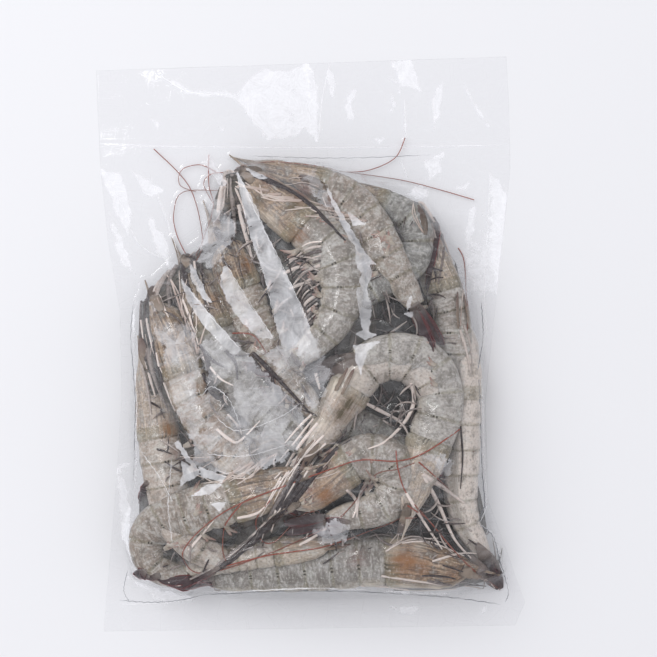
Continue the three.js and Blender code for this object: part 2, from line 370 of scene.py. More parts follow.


# %% [markdown]
# No two raw shrimp have the same colour: some heads are brown, some shells are pale, and organs show
# through as orange, olive or red stains. Painting a texture would need picture data, so each shrimp has
# three shades of its own and an amount of painted shade, and each stain is a soft round spot with a place
# and a radius. Both are stored on the mesh as attributes, which the shell's finish mixes in.

# %% Shades and stains
# How brown the rings and the head are, from 0 to 1, then how pale the shell is, and how much painted shade
# darkens it where it lies in the shade
LOOK = {
    "top_edge": (0.5, 0.5, 0.1, 0), "upper_big": (0.25, 0.6, 0.1, 0), "upper_brown": (0.6, 0.45, 0, 0.05),
    "upper_dark": (0.2, 0.3, 0, 0.25), "left_pale": (0.9, 0.55, 0, 0.1), "left_edge": (0.65, 0.35, 0.35, 0),
    "lower_left": (0.5, 0.6, 0.05, 0), "bottom_edge": (0.2, 0.65, 0, 0.06), "centre": (0.4, 0.5, 0.6, 0),
    "right_big": (0.0, 0.2, 0.3, 0), "lower_arch": (0.35, 0.6, 0.1, 0), "right_edge": (0.6, 0.5, 0.85, 0),
    "right_upper": (0.3, 0.1, 0.2, 0), "behind_top": (0.05, 0.2, 0, 0.08), "under_arch": (0.1, 0.1, 0, 0.3),
    "corner_tail": (0.5, 0.5, 0.2, 0), "middle_veiled": (0.1, 0.1, 0, 0.65)}
# Place, radius and strength of each stain
STAINS = {
    "orange": ((345, 407, 15, 0.4), (403, 555, 13, 1.0), (420, 562, 9, 0.7), (327, 492, 11, 0.9),
               (172, 428, 9, 0.8), (249, 265, 8, 0.6), (300, 238, 9, 0.6), (452, 570, 7, 0.5),
               (215, 300, 8, 0.4)),
    "olive": ((341, 412, 8, 1.0), (348, 402, 7, 1.0), (260, 203, 6, 0.7), (294, 208, 8, 0.9),
              (388, 536, 6, 0.4), (316, 226, 6, 0.4), (262, 470, 8, 0.4)),
    "red": ((308, 482, 6, 0.8), (304, 194, 9, 0.7), (330, 206, 8, 0.5), (268, 182, 6, 0.5),
            (178, 452, 6, 0.4), (356, 552, 9, 0.4), (436, 240, 6, 0.6)),
    "bone": ((394, 541, 8, 0.8), (416, 541, 8, 0.6), (372, 585, 9, 0.7), (402, 587, 9, 0.7),
             (432, 586, 8, 0.5), (334, 386, 10, 0.9), (352, 378, 9, 0.7), (322, 420, 8, 0.6),
             (272, 222, 8, 0.5), (256, 226, 7, 0.5), (248, 300, 7, 0.4), (334, 500, 7, 0.4),
             (182, 392, 10, 0.5), (225, 462, 12, 0.5), (262, 520, 9, 0.4))}


def stain_at(points, spots):
    """Greatest of strength * exp(-(distance / radius) squared) over the stains of one colour."""
    found = np.zeros(len(points))
    for u, v, size, strong in spots:
        away = np.linalg.norm(points[:, :2] - place((u, v)), axis=1) / (size * UNIT)
        found = np.maximum(found, strong * np.exp(-away ** 2))
    return found


print("stains", {colour: len(spots) for colour, spots in STAINS.items()})

# %% [markdown]
# Every body goes into one mesh. It also carries its own surface places in millimetres, along and around
# the shell, so that a pattern follows the curl and doesn't slide over it as one in plain space would.

# %% Join the bodies
SECTION, ROWS_SHOWN, ROWS_UNDER = 30, 120, 70
GIRTH = 0.36
APART = 200
UNDER = under_layer()


def with_ends(values):
    """Values over a body's rings as one list, with those of its two end points."""
    values = values.ravel()
    return np.concatenate([values, values[[0, -1]]])


bodies = Heap("along", "depth", "rim", "tone", "warm_head", "pale", "shade", "round_mm", "long_mm", *STAINS)
tops = []
for index, (name, entry) in enumerate({**SHRIMP, **UNDER}.items()):
    rings, along, depth, rim = body_rings(entry, ROWS_SHOWN if name in SHRIMP else ROWS_UNDER, SECTION)
    points, quads, tris = tube(rings)
    if name in UNDER:
        out = np.clip(3 * MM - inside(points[:, :2], PILE_XY), 0, None)
        to_middle = place(PILE.mean(0)) - points[:, :2]
        points[:, :2] += to_middle / np.linalg.norm(to_middle, axis=1, keepdims=True) * out[:, None] * 1.1
        points[:, 2] = np.minimum(points[:, 2], np.maximum(8 * MM, mound(points[:, :2]) - MM))
    around = np.repeat(np.arange(SECTION)[None], len(rings), 0) * entry[LENGTH] * GIRTH / SECTION
    # Shrimp of the under layer lie in the shade, so they get the most painted shade
    tone, warm_head, pale, shade = LOOK.get(name, (0.3, 0.2, 0.0, 1.0))
    stains = {colour: stain_at(points, spots) for colour, spots in STAINS.items()}
    bodies.add(points, quads, tris, along=with_ends(along), depth=with_ends(depth), rim=with_ends(rim),
               round_mm=with_ends(around), long_mm=with_ends(along * entry[LENGTH]) + APART * index,
               tone=tone, warm_head=warm_head, pale=pale, shade=shade, **stains)
    tops.append(points)
shrimp = bodies.mesh("shrimp_shells")
print("shrimp in view", len(SHRIMP), "faces", len(shrimp.data.polygons))

# %% [markdown]
# Under a tight film, loose limbs are pressed onto whatever lies below. A simulation could do that, but it
# is slow, and it changes with every edit. So what lies below is kept as a height map, the highest shrimp
# point in each small cell. Limbs, blades and antennae are laid on it, and the film is drawn over it.

# %% Height map of the shrimp
CELL = 0.9 * MM
xs = np.arange(-105.3, 105.4, 0.9) * MM
ys = np.arange(-141.3, 141.4, 0.9) * MM
GRID = np.stack(np.meshgrid(xs, ys), -1)


def neighbours(h):
    """Average of the four neighbours of each point."""
    p = np.pad(h, 1, mode="edge")
    return (p[:-2, 1:-1] + p[2:, 1:-1] + p[1:-1, :-2] + p[1:-1, 2:]) / 4


def closed(h):
    """Fills the small holes of a grid field: widened by two cells, then narrowed by two."""
    for pick in (np.maximum, np.maximum, np.minimum, np.minimum):
        p = np.pad(h, 1, mode="edge")
        h = pick.reduce([h, p[:-2, 1:-1], p[2:, 1:-1], p[1:-1, :-2], p[1:-1, 2:]])
    return h


def height_map(clouds, low):
    """Highest point of the clouds in each cell of the grid, at least low."""
    field = np.broadcast_to(low, GRID.shape[:2]).copy()
    for cloud in clouds:
        i = np.clip(np.round((cloud[:, 1] - ys[0]) / CELL).astype(int), 0, len(ys) - 1)
        j = np.clip(np.round((cloud[:, 0] - xs[0]) / CELL).astype(int), 0, len(xs) - 1)
        np.maximum.at(field, (i, j), cloud[:, 2])
    return closed(field)


def sample(field, x, y):
    """Value of a grid field at each place, between its four nearest points."""
    fx = np.clip((x - xs[0]) / CELL, 0, len(xs) - 1.001)
    fy = np.clip((y - ys[0]) / CELL, 0, len(ys) - 1.001)
    j, i = fx.astype(int), fy.astype(int)
    tx, ty = fx - j, fy - i
    return ((field[i, j] * (1 - tx) + field[i, j + 1] * tx) * (1 - ty)
            + (field[i + 1, j] * (1 - tx) + field[i + 1, j + 1] * tx) * ty)


rest = height_map(tops, np.maximum(0, mound(GRID) - 12 * MM))
print("highest shrimp point, mm", round(1000 * rest.max(), 1))

# %% [markdown]
# A limb is a thin tube through a few points. A blade is a flat tube that widens and narrows again. Curve
# objects with a bevel would have the same shape, but no shade along and across each strand. Every line is
# tucked inside the pile's edge and laid on the height map.

# %% Limbs and blades
def tucked(points):
    """Moves points that lie outside the pile's outline, or too near to it, back inside."""
    points = points.copy()
    for _ in range(2):
        out = np.clip(2.5 * MM - inside(points[:, :2], PILE_XY), 0, 30 * MM)
        way = place(PILE.mean(0)) - points[:, :2]
        points[:, :2] += way / np.linalg.norm(way, axis=1, keepdims=True) * out[:, None]
    return points


def lay(points, gap):
    """Lifts points onto the height map, with a gap, and keeps them over the pile."""
    points = tucked(points)
    top = np.maximum(sample(rest, points[:, 0], points[:, 1]), 1.0 * MM)
    points[:, 2] = np.clip(points[:, 2], top + gap, top + gap + 1.5 * MM)
    return points


def curve_through(points, count):
    """A smooth line through points, by cubic pieces, as count places."""
    points = np.asarray(points, float)
    ends = np.concatenate([points[:1], points, points[-1:]])
    t = np.linspace(0, len(points) - 1, count)
    k = np.minimum(t.astype(int), len(points) - 2)
    f = (t - k)[:, None]
    p0, p1, p2, p3 = (ends[k + i] for i in range(4))
    return 0.5 * (2 * p1 + (p2 - p0) * f + (2 * p0 - 5 * p1 + 4 * p2 - p3) * f ** 2
                  + (3 * p1 - p0 - 3 * p2 + p3) * f ** 3)


def strand(heap, line, radius, cols=6, flat=1.0, turn=None, fade=1.0, **values):
    """A tube along a line: radius may vary along it, flat squeezes it, turn is its thin direction."""
    ahead = np.gradient(line, axis=0)
    ahead /= np.linalg.norm(ahead, axis=1, keepdims=True) + 1e-12
    thin = np.array([0, 0, 1.0]) if turn is None else turn
    side = np.cross(ahead, thin)
    side /= np.linalg.norm(side, axis=1, keepdims=True) + 1e-9
    lift = np.cross(side, ahead)
    radius = np.broadcast_to(radius, len(line)).astype(float)
    rings = sweep(line, side, lift, radius, radius * flat, cols)
    rings[..., 2] = np.maximum(rings[..., 2], 0.5 * MM)
    points, quads, tris = tube(rings)
    share = np.repeat(np.linspace(0, fade, len(line)), cols)
    edge = np.tile(np.abs(np.cos(2 * np.pi * np.arange(cols) / cols)), len(line))
    values["along"] = np.concatenate([share, [0, fade]])
    values["edge"] = fade * np.concatenate([edge, [1, 1]])
    heap.add(points, quads, tris, **values)


legs, swimmers, fans, eyes, scales, feelers, straps = (Heap("along", "edge", "tone") for _ in range(7))


def traced(way, steps):
    """A smooth line on the floor through places of the view, with so many points for each place."""
    flat_line = curve_through(place(way), steps * len(way))
    return np.column_stack([flat_line, np.zeros(len(flat_line))])


def frame_at(entry, s):
    """Centre, travel direction, back direction and flank direction at one share of the length."""
    centre, angle = centreline(entry, np.array([s]))
    to_back, to_flank = axes_of(entry, angle)
    ahead = np.array([math.cos(angle[0]), math.sin(angle[0]), 0])
    return centre[0], ahead, to_back[0], to_flank[0]


# %% [markdown]
# A shrimp's head has four pairs of walking legs, two oval scales in front and two black eyes on stalks.
# Each leg runs through a root, a knee and a tip. No two are alike, so their reach and bend are drawn at
# random. Most heads in the pile are bare, because their legs lie loose and are placed one by one below.

# %% Heads
def add_head(entry, rng, bare):
    """Walking legs, scales and eyes of one shrimp."""
    length = entry[LENGTH] * MM
    for s in (0.17, 0.215, 0.26, 0.30):
        centre, ahead, back, flank = frame_at(entry, s)
        for hand in (-1, 1):
            root = centre - back * 0.058 * length + flank * hand * 0.02 * length
            reach = rng.uniform(0.10, 0.15) * length
            bend = root - ahead * reach * rng.uniform(0.3, 1.0) - back * reach * rng.uniform(0.0, 0.35)
            tip = bend - ahead * reach * rng.uniform(0.2, 1.1) + back * reach * rng.uniform(-0.5, 0.5)
            line = curve_through([root, (root + bend) / 2, bend, tip], 14)
            radius = np.interp(np.linspace(0, 1, 14), [0, 0.5, 1], [0.75, 0.5, 0.2]) * MM
            if not bare:
                strand(legs, lay(line, 0.3 * MM), radius, flat=0.7, tone=rng.random())
    for hand in (-1, 1):
        centre, ahead, back, flank = frame_at(entry, 0.125)
        root = centre + back * 0.002 * length + flank * hand * 0.018 * length
        tip = root - ahead * 0.115 * length + back * 0.012 * length
        line = lay(curve_through([root, (root + tip) / 2 + back * 0.004 * length, tip], 14), 0.2 * MM)
        radius = np.sin(np.linspace(0.35, np.pi * 0.97, 14)) ** 0.7 * 0.018 * length
        strand(scales, line, radius, cols=8, flat=0.16, turn=flank, tone=rng.random())
        stalk = centre + flank * hand * 0.014 * length - ahead * 0.008 * length
        globe = np.stack([stalk - ahead * d for d in np.linspace(-1.4, 1.4, 9) * MM])
        ball = np.sqrt(np.maximum(0.02, 1 - np.linspace(-1.0, 1.0, 9) ** 2))
        strand(eyes, globe, ball * 0.8 * MM, cols=10)
        bend = stalk - ahead * 0.08 * length + back * rng.uniform(-0.02, 0.02) * length
        tip = bend - ahead * 0.06 * length + back * rng.uniform(-0.04, 0.04) * length
        line = lay(curve_through([stalk, bend, tip], 12), 0.25 * MM)
        strand(legs, line, np.linspace(0.35, 0.15, 12) * MM, cols=5, tone=0.2)


# %% [markdown]
# The tail is a middle spike with two blades on each side. Folded, they look like one dark red brush. They
# could be flat planes, but thin closed tubes have a true edge. Only the fans in the table lie on top, and
# the others stay tucked below the shells around them.

# %% Tails
# Tail fans that lie on top: length, how dark they are, and how far they spread
FAN = {"top_edge": (1.3, 1.0, 0.6), "right_big": (1.1, 0.35, 0.8), "lower_arch": (1.2, 1.0, 0.5),
       "bottom_edge": (1.35, 1.0, 0.25), "right_edge": (0.9, 0.9, 0.2), "corner_tail": (1.0, 1.0, 0.3)}


def add_tail(entry, rng, size=1.0, dark=1.0, spread=1.0, on_top=True):
    """Middle spike and four blades, folded together."""
    length = entry[LENGTH] * MM
    centre, ahead, back, flank = frame_at(entry, TAIL - 0.008)
    _, end_ahead, _, _ = frame_at(entry, 0.93)
    spreads = ((0.0, 0.0, 0.118, 0.012), (-1, 0.05, 0.130, 0.019), (1, 0.05, 0.130, 0.019),
               (-1, 0.15, 0.134, 0.020), (1, 0.15, 0.134, 0.020))
    tilt = rng.uniform(0.6, 0.95)
    for hand, splay, reach, wide in np.array(spreads) * (1, spread, size, 0.55 + 0.45 * spread):
        sideways = flank * (1 - tilt) * hand + back * tilt * hand
        sideways /= np.linalg.norm(sideways) + 1e-9
        way = end_ahead + sideways * splay
        way /= np.linalg.norm(way)
        root = centre + sideways * 0.008 * length * abs(hand)
        line = curve_through([root, root + way * reach * 0.5 * length, root + way * reach * length], 18)
        if on_top:
            line = lay(line, (0.25 + 0.9 * splay) * MM)
        else:
            line = tucked(line)
            most = np.maximum(MM, sample(rest, line[:, 0], line[:, 1]) - 2 * MM)
            line[:, 2] = np.clip(line[:, 2], MM, most)
        profile = np.interp(np.linspace(0, 1, 18), [0, 0.25, 0.55, 0.8, 1], [0.6, 0.9, 1, 0.72, 0.08])
        strand(fans, line, profile * wide * 1.15 * length, cols=10, flat=0.14, fade=dark, tone=rng.random())


# %% [markdown]
# Five pairs of fringed swimming legs sit under the belly rings, as flat leaves that lean a little to the
# front. A leaf that would drop down the steep side of the pile is left out, because the film presses it
# flat against the shell there.

# %% Swimming legs
STEEP = 10 * MM


def add_swimmers(entry, rng):
    """Five pairs of fringed swimming legs under the belly rings, but none that hangs down a steep side."""
    length = entry[LENGTH] * MM
    for k, s in enumerate((0.385, 0.465, 0.545, 0.625, 0.70)):
        centre, ahead, back, flank = frame_at(entry, s)
        belly = np.interp(s, STATION, BELLY) * length
        for hand in (-1, 1):
            root = centre - back * belly * 0.92 + flank * hand * 0.020 * length
            for way in (-0.6, -0.1):
                reach = (0.060 - 0.005 * k) * length * rng.uniform(0.85, 1.15)
                lean = ahead * (way + rng.uniform(-0.2, 0.2))
                tip = root - back * reach * 0.7 + lean * reach
                line = lay(curve_through([root, (root + tip) / 2 - lean * 0.25 * reach, tip], 10), 0.2 * MM)
                radius = np.interp(np.linspace(0, 1, 10), [0, 0.4, 1], [0.8, 1.0, 0.2]) * 0.0075 * length
                tone = rng.random()
                if np.ptp(line[:, 2]) < STEEP:
                    strand(swimmers, line, radius, cols=8, flat=0.35, turn=flank, tone=tone)


# %% [markdown]
# Each shrimp in view gets its head, tail and legs, in the order of the table, because each draws its
# random numbers from one seeded generator. Swimming legs are left out where none can be seen.

# %% Dress every shrimp
for name, entry in SHRIMP.items():
    add_head(entry, RNG, name not in ("left_pale", "top_edge", "behind_top", "middle_veiled"))
    add_tail(entry, RNG, *FAN.get(name, (1.0, 1.0, 1.0)), name in FAN)
    if name not in ("right_edge", "corner_tail", "left_pale", "right_big", "centre"):
        add_swimmers(entry, RNG)
print("leg points", legs.count, "fan points", fans.count, "swimming leg points", swimmers.count)

# %% [markdown]
# Antennae are a shrimp's longest parts, thin and red-brown. Each follows its own places, u and v, a few
# for each bend, joined by a smooth curve. It rests on the height map evened along it, so that it doesn't
# dip into narrow gaps. Those in the loose head of the bag are thinner.

# %% Antennae
ANTENNAE = (
    ((405, 138), (395, 158), (370, 170), (345, 172), (320, 168), (270, 163), (236, 168)),
    ((474, 200), (440, 190), (400, 180), (345, 172)),
    ((154, 149), (190, 188), (203, 240), (198, 262)),
    ((190, 262), (177, 235), (174, 212), (184, 192), (226, 191)),
    ((209, 155), (209, 185), (214, 207), (206, 232), (196, 260)),
    ((216, 172), (200, 165), (182, 170), (180, 185), (196, 192)),
    ((230, 173), (212, 174), (204, 185), (216, 208)),
    ((457, 427), (420, 450), (395, 457), (360, 456), (330, 465), (250, 495), (215, 515), (190, 540),
     (186, 556), (197, 568), (216, 567), (245, 558), (290, 540), (330, 520), (360, 490), (375, 470),
     (395, 465), (412, 459)),
    ((394, 447), (396, 465), (405, 490), (430, 520), (460, 555), (500, 590)),
    ((245, 497), (228, 520), (225, 545), (230, 560)),
    ((272, 495), (258, 515), (262, 535), (276, 537), (300, 513), (315, 506), (322, 512)),
    ((225, 562), (270, 550), (330, 540), (380, 522), (400, 513), (415, 513)),
    ((458, 248), (464, 262), (466, 300), (465, 335)),
    ((235, 333), (255, 335), (268, 352)),
    ((405, 500), (425, 515), (450, 545), (490, 585)),
    ((416, 458), (435, 475), (450, 490)),
)
IN_HEAD = 7
for k, way in enumerate(ANTENNAE):
    line = traced(way, 16)
    lift = sample(rest, line[:, 0], line[:, 1])
    lift = np.maximum(lift, evened(lift, 6))
    line[:, 2] = np.maximum(lift + 0.45 * MM, 1.3 * MM)
    thin = 0.7 if k < IN_HEAD else 0.9
    strand(feelers, line, np.linspace(0.34, 0.20, len(line)) * thin * MM, cols=6, tone=(k * 0.37) % 1)
print("antennae", len(ANTENNAE), "points", feelers.count)

# %% [markdown]
# Torn legs, feelers and feather-like swimming legs lie in loose bundles over the shells, pale or dark.
# A few of the dark rows are painted shade, standing for dark cracks between the shrimp.
# Each is a thin flat tube through a few measured places. The first number of a row is half its width in
# millimetres, and the second goes from pale 0 to dark 1. The feathers stand in an even row, so a formula
# gives theirs.

# %% Loose strands
STRAPS = (
    (0.9, 0.0, (318, 420), (302, 440), (288, 462), (268, 500)),
    (0.7, 0.1, (324, 432), (308, 448), (290, 470)),
    (0.8, 0.0, (326, 440), (312, 450), (296, 456), (276, 474)),
    (0.6, 0.2, (322, 446), (306, 470), (286, 500)), (0.6, 0.1, (314, 416), (298, 436), (280, 458)),
    (0.7, 0.1, (312, 412), (298, 426), (286, 440)), (0.6, 0.3, (310, 440), (294, 462), (276, 496)),
    (0.5, 0.15, (304, 446), (288, 470), (272, 486)), (0.6, 0.2, (316, 436), (300, 458), (284, 488)),
    (0.5, 0.0, (300, 450), (282, 478), (262, 512)),
    (1.9, 1.0, (306, 474), (280, 508), (248, 543), (210, 570), (168, 589)),
    # The rows through (208, 350), (203, 344) and (210, 386) are painted shade: dark cracks under the veil
    (1.5, 1.0, (208, 350), (213, 371), (209, 392)), (1.2, 1.0, (203, 344), (214, 358), (227, 366)),
    (1.3, 0.9, (210, 386), (221, 396), (231, 391)), (0.9, 1.0, (228, 350), (238, 362), (240, 378)),
    (0.7, 0.1, (206, 356), (222, 376), (236, 384)), (0.8, 0.7, (262, 384), (272, 398), (290, 410)),
    (1.5, 1.0, (338, 444), (318, 466), (292, 500), (262, 532), (232, 556)),
    (1.0, 0.9, (308, 456), (290, 482), (276, 508), (248, 540), (214, 568), (176, 586)),
    (1.2, 1.0, (302, 470), (284, 500), (262, 528), (232, 556), (196, 578)),
    (1.0, 0.7, (300, 462), (280, 495), (262, 524), (222, 558)),
    (0.7, 0.3, (296, 478), (272, 512), (240, 544)),
    (0.6, 0.2, (286, 498), (262, 524), (236, 548), (204, 570)),
    (0.8, 0.6, (250, 535), (216, 562), (168, 588)), (1.7, 0.45, (226, 172), (227, 195), (222, 216)),
    (1.4, 0.6, (233, 176), (234, 205), (237, 236)), (1.5, 0.3, (221, 182), (216, 206), (211, 228)),
    (1.2, 0.5, (230, 172), (230, 200), (229, 236)), (1.8, 0.5, (170, 270), (161, 290), (158, 312)),
    (1.6, 0.65, (178, 266), (171, 286), (172, 308)), (1.3, 0.4, (164, 276), (156, 292), (152, 306)),
    (1.4, 0.35, (240, 206), (246, 232), (254, 262)), (0.5, 0.3, (384, 546), (404, 536), (436, 534)),
    (0.5, 0.5, (388, 542), (410, 532), (446, 540)), (0.5, 0.2, (400, 538), (428, 538), (462, 552)),
    (0.5, 0.8, (432, 574), (452, 582), (486, 586)), (0.5, 0.9, (420, 570), (446, 572), (478, 584)),
    (0.4, 0.9, (440, 560), (462, 568), (490, 584)), (1.3, 0.6, (150, 348), (156, 374), (165, 400)),
    (1.0, 0.35, (145, 345), (151, 372), (158, 396)), (1.1, 0.9, (156, 342), (164, 370), (172, 398)),
    (0.8, 0.2, (160, 352), (166, 378), (178, 410)), (0.9, 0.7, (148, 352), (160, 384), (170, 408)),
    (0.8, 0.5, (143, 362), (150, 388), (154, 412)), (1.0, 0.85, (182, 258), (188, 276), (186, 296)),
    (0.7, 0.3, (196, 262), (200, 284), (212, 306)), (0.9, 0.95, (192, 256), (203, 272), (208, 298)),
    (0.7, 0.6, (174, 266), (172, 284), (176, 304)), (0.8, 0.8, (228, 175), (238, 200), (246, 224)),
    (0.6, 0.3, (232, 180), (244, 208), (250, 236)), (0.5, 1.0, (458, 424), (460, 455), (458, 486)),
    (1.1, 0.85, (152, 285), (148, 320), (156, 350)), (1.0, 0.75, (140, 300), (139, 340), (147, 372)),
    (1.5, 0.9, (437, 212), (434, 240), (430, 262), (424, 290)),
    (0.8, 0.7, (440, 218), (442, 250), (436, 285)), (1.8, 0.9, (210, 215), (222, 240), (233, 250)),
    (1.0, 0.0, (409, 382), (412, 400), (403, 420), (384, 438), (367, 445)),
    (1.0, 0.4, (366, 402), (385, 412), (400, 419)), (1.0, 0.1, (316, 372), (320, 388)),
    (0.9, 0.1, (220, 426), (232, 436), (242, 438), (262, 418)),
    (0.7, 0.0, (230, 412), (240, 424), (244, 432)), (0.8, 0.1, (186, 300), (196, 325), (202, 345)),
    (0.8, 0.15, (157, 283), (163, 300), (172, 318)), (0.8, 0.15, (148, 315), (154, 345), (166, 372)),
    (0.7, 0.2, (142, 320), (148, 350), (158, 372)),
    (1.0, 0.25, (420, 470), (436, 500), (452, 535), (470, 556)),
    (0.9, 0.2, (404, 488), (420, 515), (440, 545)), (1.4, 0.35, (420, 470), (440, 484), (462, 500)),
    (0.6, 0.35, (380, 570), (430, 578), (480, 588)), (0.8, 0.2, (360, 580), (410, 588), (460, 594)),
    (0.6, 0.3, (430, 556), (455, 550), (480, 551)), (0.7, 0.7, (425, 575), (448, 580), (470, 578)),
    (0.9, 0.1, (240, 512), (258, 508), (268, 500)), (0.8, 0.1, (300, 540), (318, 530), (340, 512)),
    (0.7, 0.1, (192, 545), (206, 528), (217, 515)), (0.9, 0.15, (165, 587), (190, 578), (215, 568)),
    (0.8, 0.1, (420, 200), (432, 218), (442, 240)), (0.8, 0.3, (424, 210), (440, 232), (452, 262)),
    (0.7, 0.6, (430, 225), (436, 250), (436, 262)), (0.8, 0.4, (458, 330), (464, 350), (468, 372)),
    (0.7, 0.5, (462, 325), (468, 345), (470, 365)), (0.9, 0.2, (222, 160), (232, 172), (246, 178)),
    (0.8, 0.3, (216, 165), (224, 180), (240, 190)), (0.9, 0.15, (346, 485), (356, 498), (352, 512)),
    (0.9, 0.35, (366, 478), (358, 495), (356, 512)), (0.9, 0.4, (290, 262), (302, 258), (318, 262)),
    (0.9, 0.3, (284, 275), (302, 268), (320, 272)), (0.9, 0.4, (290, 290), (306, 284), (320, 285)),
    (1.6, 1.0, (240, 172), (275, 186), (310, 207), (338, 236)),
    (1.3, 0.95, (268, 184), (300, 200), (345, 243)), (1.2, 0.9, (255, 352), (280, 378), (308, 408)),
    (1.5, 0.8, (252, 356), (276, 384), (300, 405)), (1.4, 0.9, (183, 262), (190, 285), (200, 310)),
    (1.2, 0.8, (192, 262), (204, 290), (212, 312)), (1.0, 0.9, (206, 372), (212, 384), (222, 390)),
    (1.3, 0.85, (142, 340), (150, 362), (160, 372)),
)
FEATHERS = tuple(
    (0.45 + 0.25 * (k % 3), (0.37 * k) % 0.75,
     (322 - 0.3 * k, 244 + 4.6 * k), (306, 247 + 5.2 * k), (286 + 1.6 * k, 262 + 4.8 * k))
    for k in range(17))
for wide, dark, *way in STRAPS + FEATHERS:
    line = lay(traced(way, 14), 0.5 * MM)
    line[:, 2] = evened(line[:, 2], 4)
    radius = np.interp(np.linspace(0, 1, len(line)), [0, 0.3, 1], [0.8, 1, 0.35]) * wide * MM
    strand(straps, line, radius, cols=8, flat=0.5, tone=dark)
print("loose strands", len(STRAPS) + len(FEATHERS), "points", straps.count)

# %% [markdown]
# A few tail blades lie folded flat or loose. They are wider than strands, and widest near the middle. The
# first number of a row is half the width in millimetres, the second how dark the blade is.

# %% Loose tail blades
BLADES = (
    (3.4, 1.0, (149, 567), (140, 572), (129, 580)), (2.4, 1.0, (152, 572), (143, 578), (133, 583)),
    (2.6, 1.0, (222, 562), (196, 575), (166, 588)), (1.8, 1.0, (218, 568), (194, 579), (172, 589)),
    (2.2, 1.0, (438, 216), (433, 245), (424, 290)), (4.0, 0.35, (474, 540), (488, 562), (502, 591)),
    (3.2, 0.5, (468, 552), (484, 572), (503, 592)), (2.0, 0.8, (490, 552), (498, 572), (504, 591)),
    (2.6, 1.0, (244, 362), (255, 368), (276, 375)), (3.0, 1.0, (151, 478), (147, 490), (140, 503)),
    (3.4, 0.9, (346, 522), (328, 524), (306, 532)), (2.4, 1.0, (350, 516), (330, 516), (310, 520)))
for wide, dark, *way in BLADES:
    line = lay(traced(way, 12), 0.6 * MM)
    radius = np.interp(np.linspace(0, 1, len(line)), [0, 0.35, 0.7, 1], [0.25, 0.9, 0.85, 0.1]) * wide * MM
    strand(fans, line, radius, cols=12, flat=0.2, fade=dark, tone=RNG.random())
print("loose tail blades", len(BLADES))

# %% [markdown]
# The gaps are full of loose bits: leg ends, feeler ends and shreds of skin. They can't be told apart, so
# they are drawn at random by the seeded generator, not placed one by one. They lie level at the depth of
# their gap, and run in under the shrimp around it.

# %% Bits in the gaps
BITS = 460
gaps = GRID[(mound(GRID) - rest > 5 * MM) & (inside(GRID, PILE_XY) > 5 * MM)]
for spot in gaps[RNG.choice(len(gaps), BITS, replace=False)]:
    turn, bend = RNG.uniform(0, 2 * np.pi), RNG.uniform(-1.4, 1.4)
    share = np.linspace(-0.5, 0.5, 14)
    way = np.stack([np.cos(turn + bend * share), np.sin(turn + bend * share)], -1)
    line = tucked(spot + np.cumsum(way, 0) * RNG.uniform(6, 17) / 14 * MM)
    z = sample(rest, *spot) + RNG.uniform(0.2, 1.6) * MM + share * RNG.uniform(-2, 2) * MM
    line = np.column_stack([line, np.minimum(z, mound(line) - 2 * MM)])
    radius = np.sin(np.linspace(0.3, 2.9, 14)) * RNG.uniform(0.22, 0.6) * MM
    strand(straps, line, radius, cols=6, flat=0.5, tone=RNG.uniform(0.35, 1.0) ** 0.7)
print("bits", BITS, "strand points", straps.count)

# %% [markdown]
# The gaps between the shrimp that show open onto deep shade, in which nothing can be made out. That
# shade is painted as one closed dark mound under them: rings about a hub, each at a share of the way to
# the outline.

# %% Painted shade in the middle of the pile
SPOKES = 96
around = np.linspace(0, 2 * np.pi, SPOKES, endpoint=False)
spoke = np.stack([np.cos(around), np.sin(around)], -1)
hub = place((310, 390))
reach = np.array([
    max(r for r in np.arange(0.02, 0.16, 0.0005) if inside(hub + w * r, PILE_XY) > 5 * MM) for w in spoke])
share = np.sin(np.linspace(0.02, 1, 22) * np.pi / 2)[:, None, None]
ring_xy = hub + spoke[None] * reach[None, :, None] * share
ring_z = np.maximum(3 * MM, mound(ring_xy) - 15 * MM)
foot = np.concatenate([ring_xy[-1], np.full((SPOKES, 1), MM)], -1)[None]
shade_core_rings = np.concatenate([np.concatenate([ring_xy, ring_z[..., None]], -1), foot])
shade_core = Heap("along")
shade_core.add(*tube(shade_core_rings))
print("dark middle points", shade_core.count)

# %% [markdown]
# The film is taut over the shrimp, drawn a little into the gaps, and falls steeply outside them to the
# loose sheet, which has gentle waves and a raised cross seam. Cloth simulation is the usual way to drape a
# sheet, but it doesn't give a vacuum's pull. Here each point of a height map goes to the mean of its four
# neighbours, is pressed down a little, and is lifted back onto what it rests on, many times over.

# %% Film over everything
def sheet(x, y):
    """Height of the loose film: 0.8 mm, waves of up to 1.1 mm, higher in the head, and the raised seam."""
    head = smooth((y - 0.070) / 0.025)
    wave = 0.5 + 0.5 * np.sin(x / 0.011 + 0.6 * np.sin(y / 0.009)) * np.cos(y / 0.017 + x / 0.040)
    weld = np.abs(y - (CENTRE_V - WELD_V) * UNIT) < 4.5 * MM
    return (0.8 + 1.1 * wave * (0.25 + 0.75 * head) + 0.5 * weld) * MM


loose = [np.concatenate(h.points) for h in (legs, fans, swimmers, scales, feelers, straps)]
base = np.maximum(height_map([*tops, *loose], 0.0) + 0.25 * MM, sheet(GRID[..., 0], GRID[..., 1]))
base = np.minimum(base, PILE_HIGH + 0.6 * MM)
PRESS_OVER, PRESS_BESIDE = 0.03 * MM, 0.22 * MM
ROUNDS = 160
press = np.where(inside(GRID, PILE_XY) > 0, PRESS_OVER, PRESS_BESIDE)
film = base.copy()
for _ in range(ROUNDS):
    film = np.maximum(base, neighbours(film) - press)
stand_off = film - base
print("film height, mm", round(1000 * film.max(), 1))
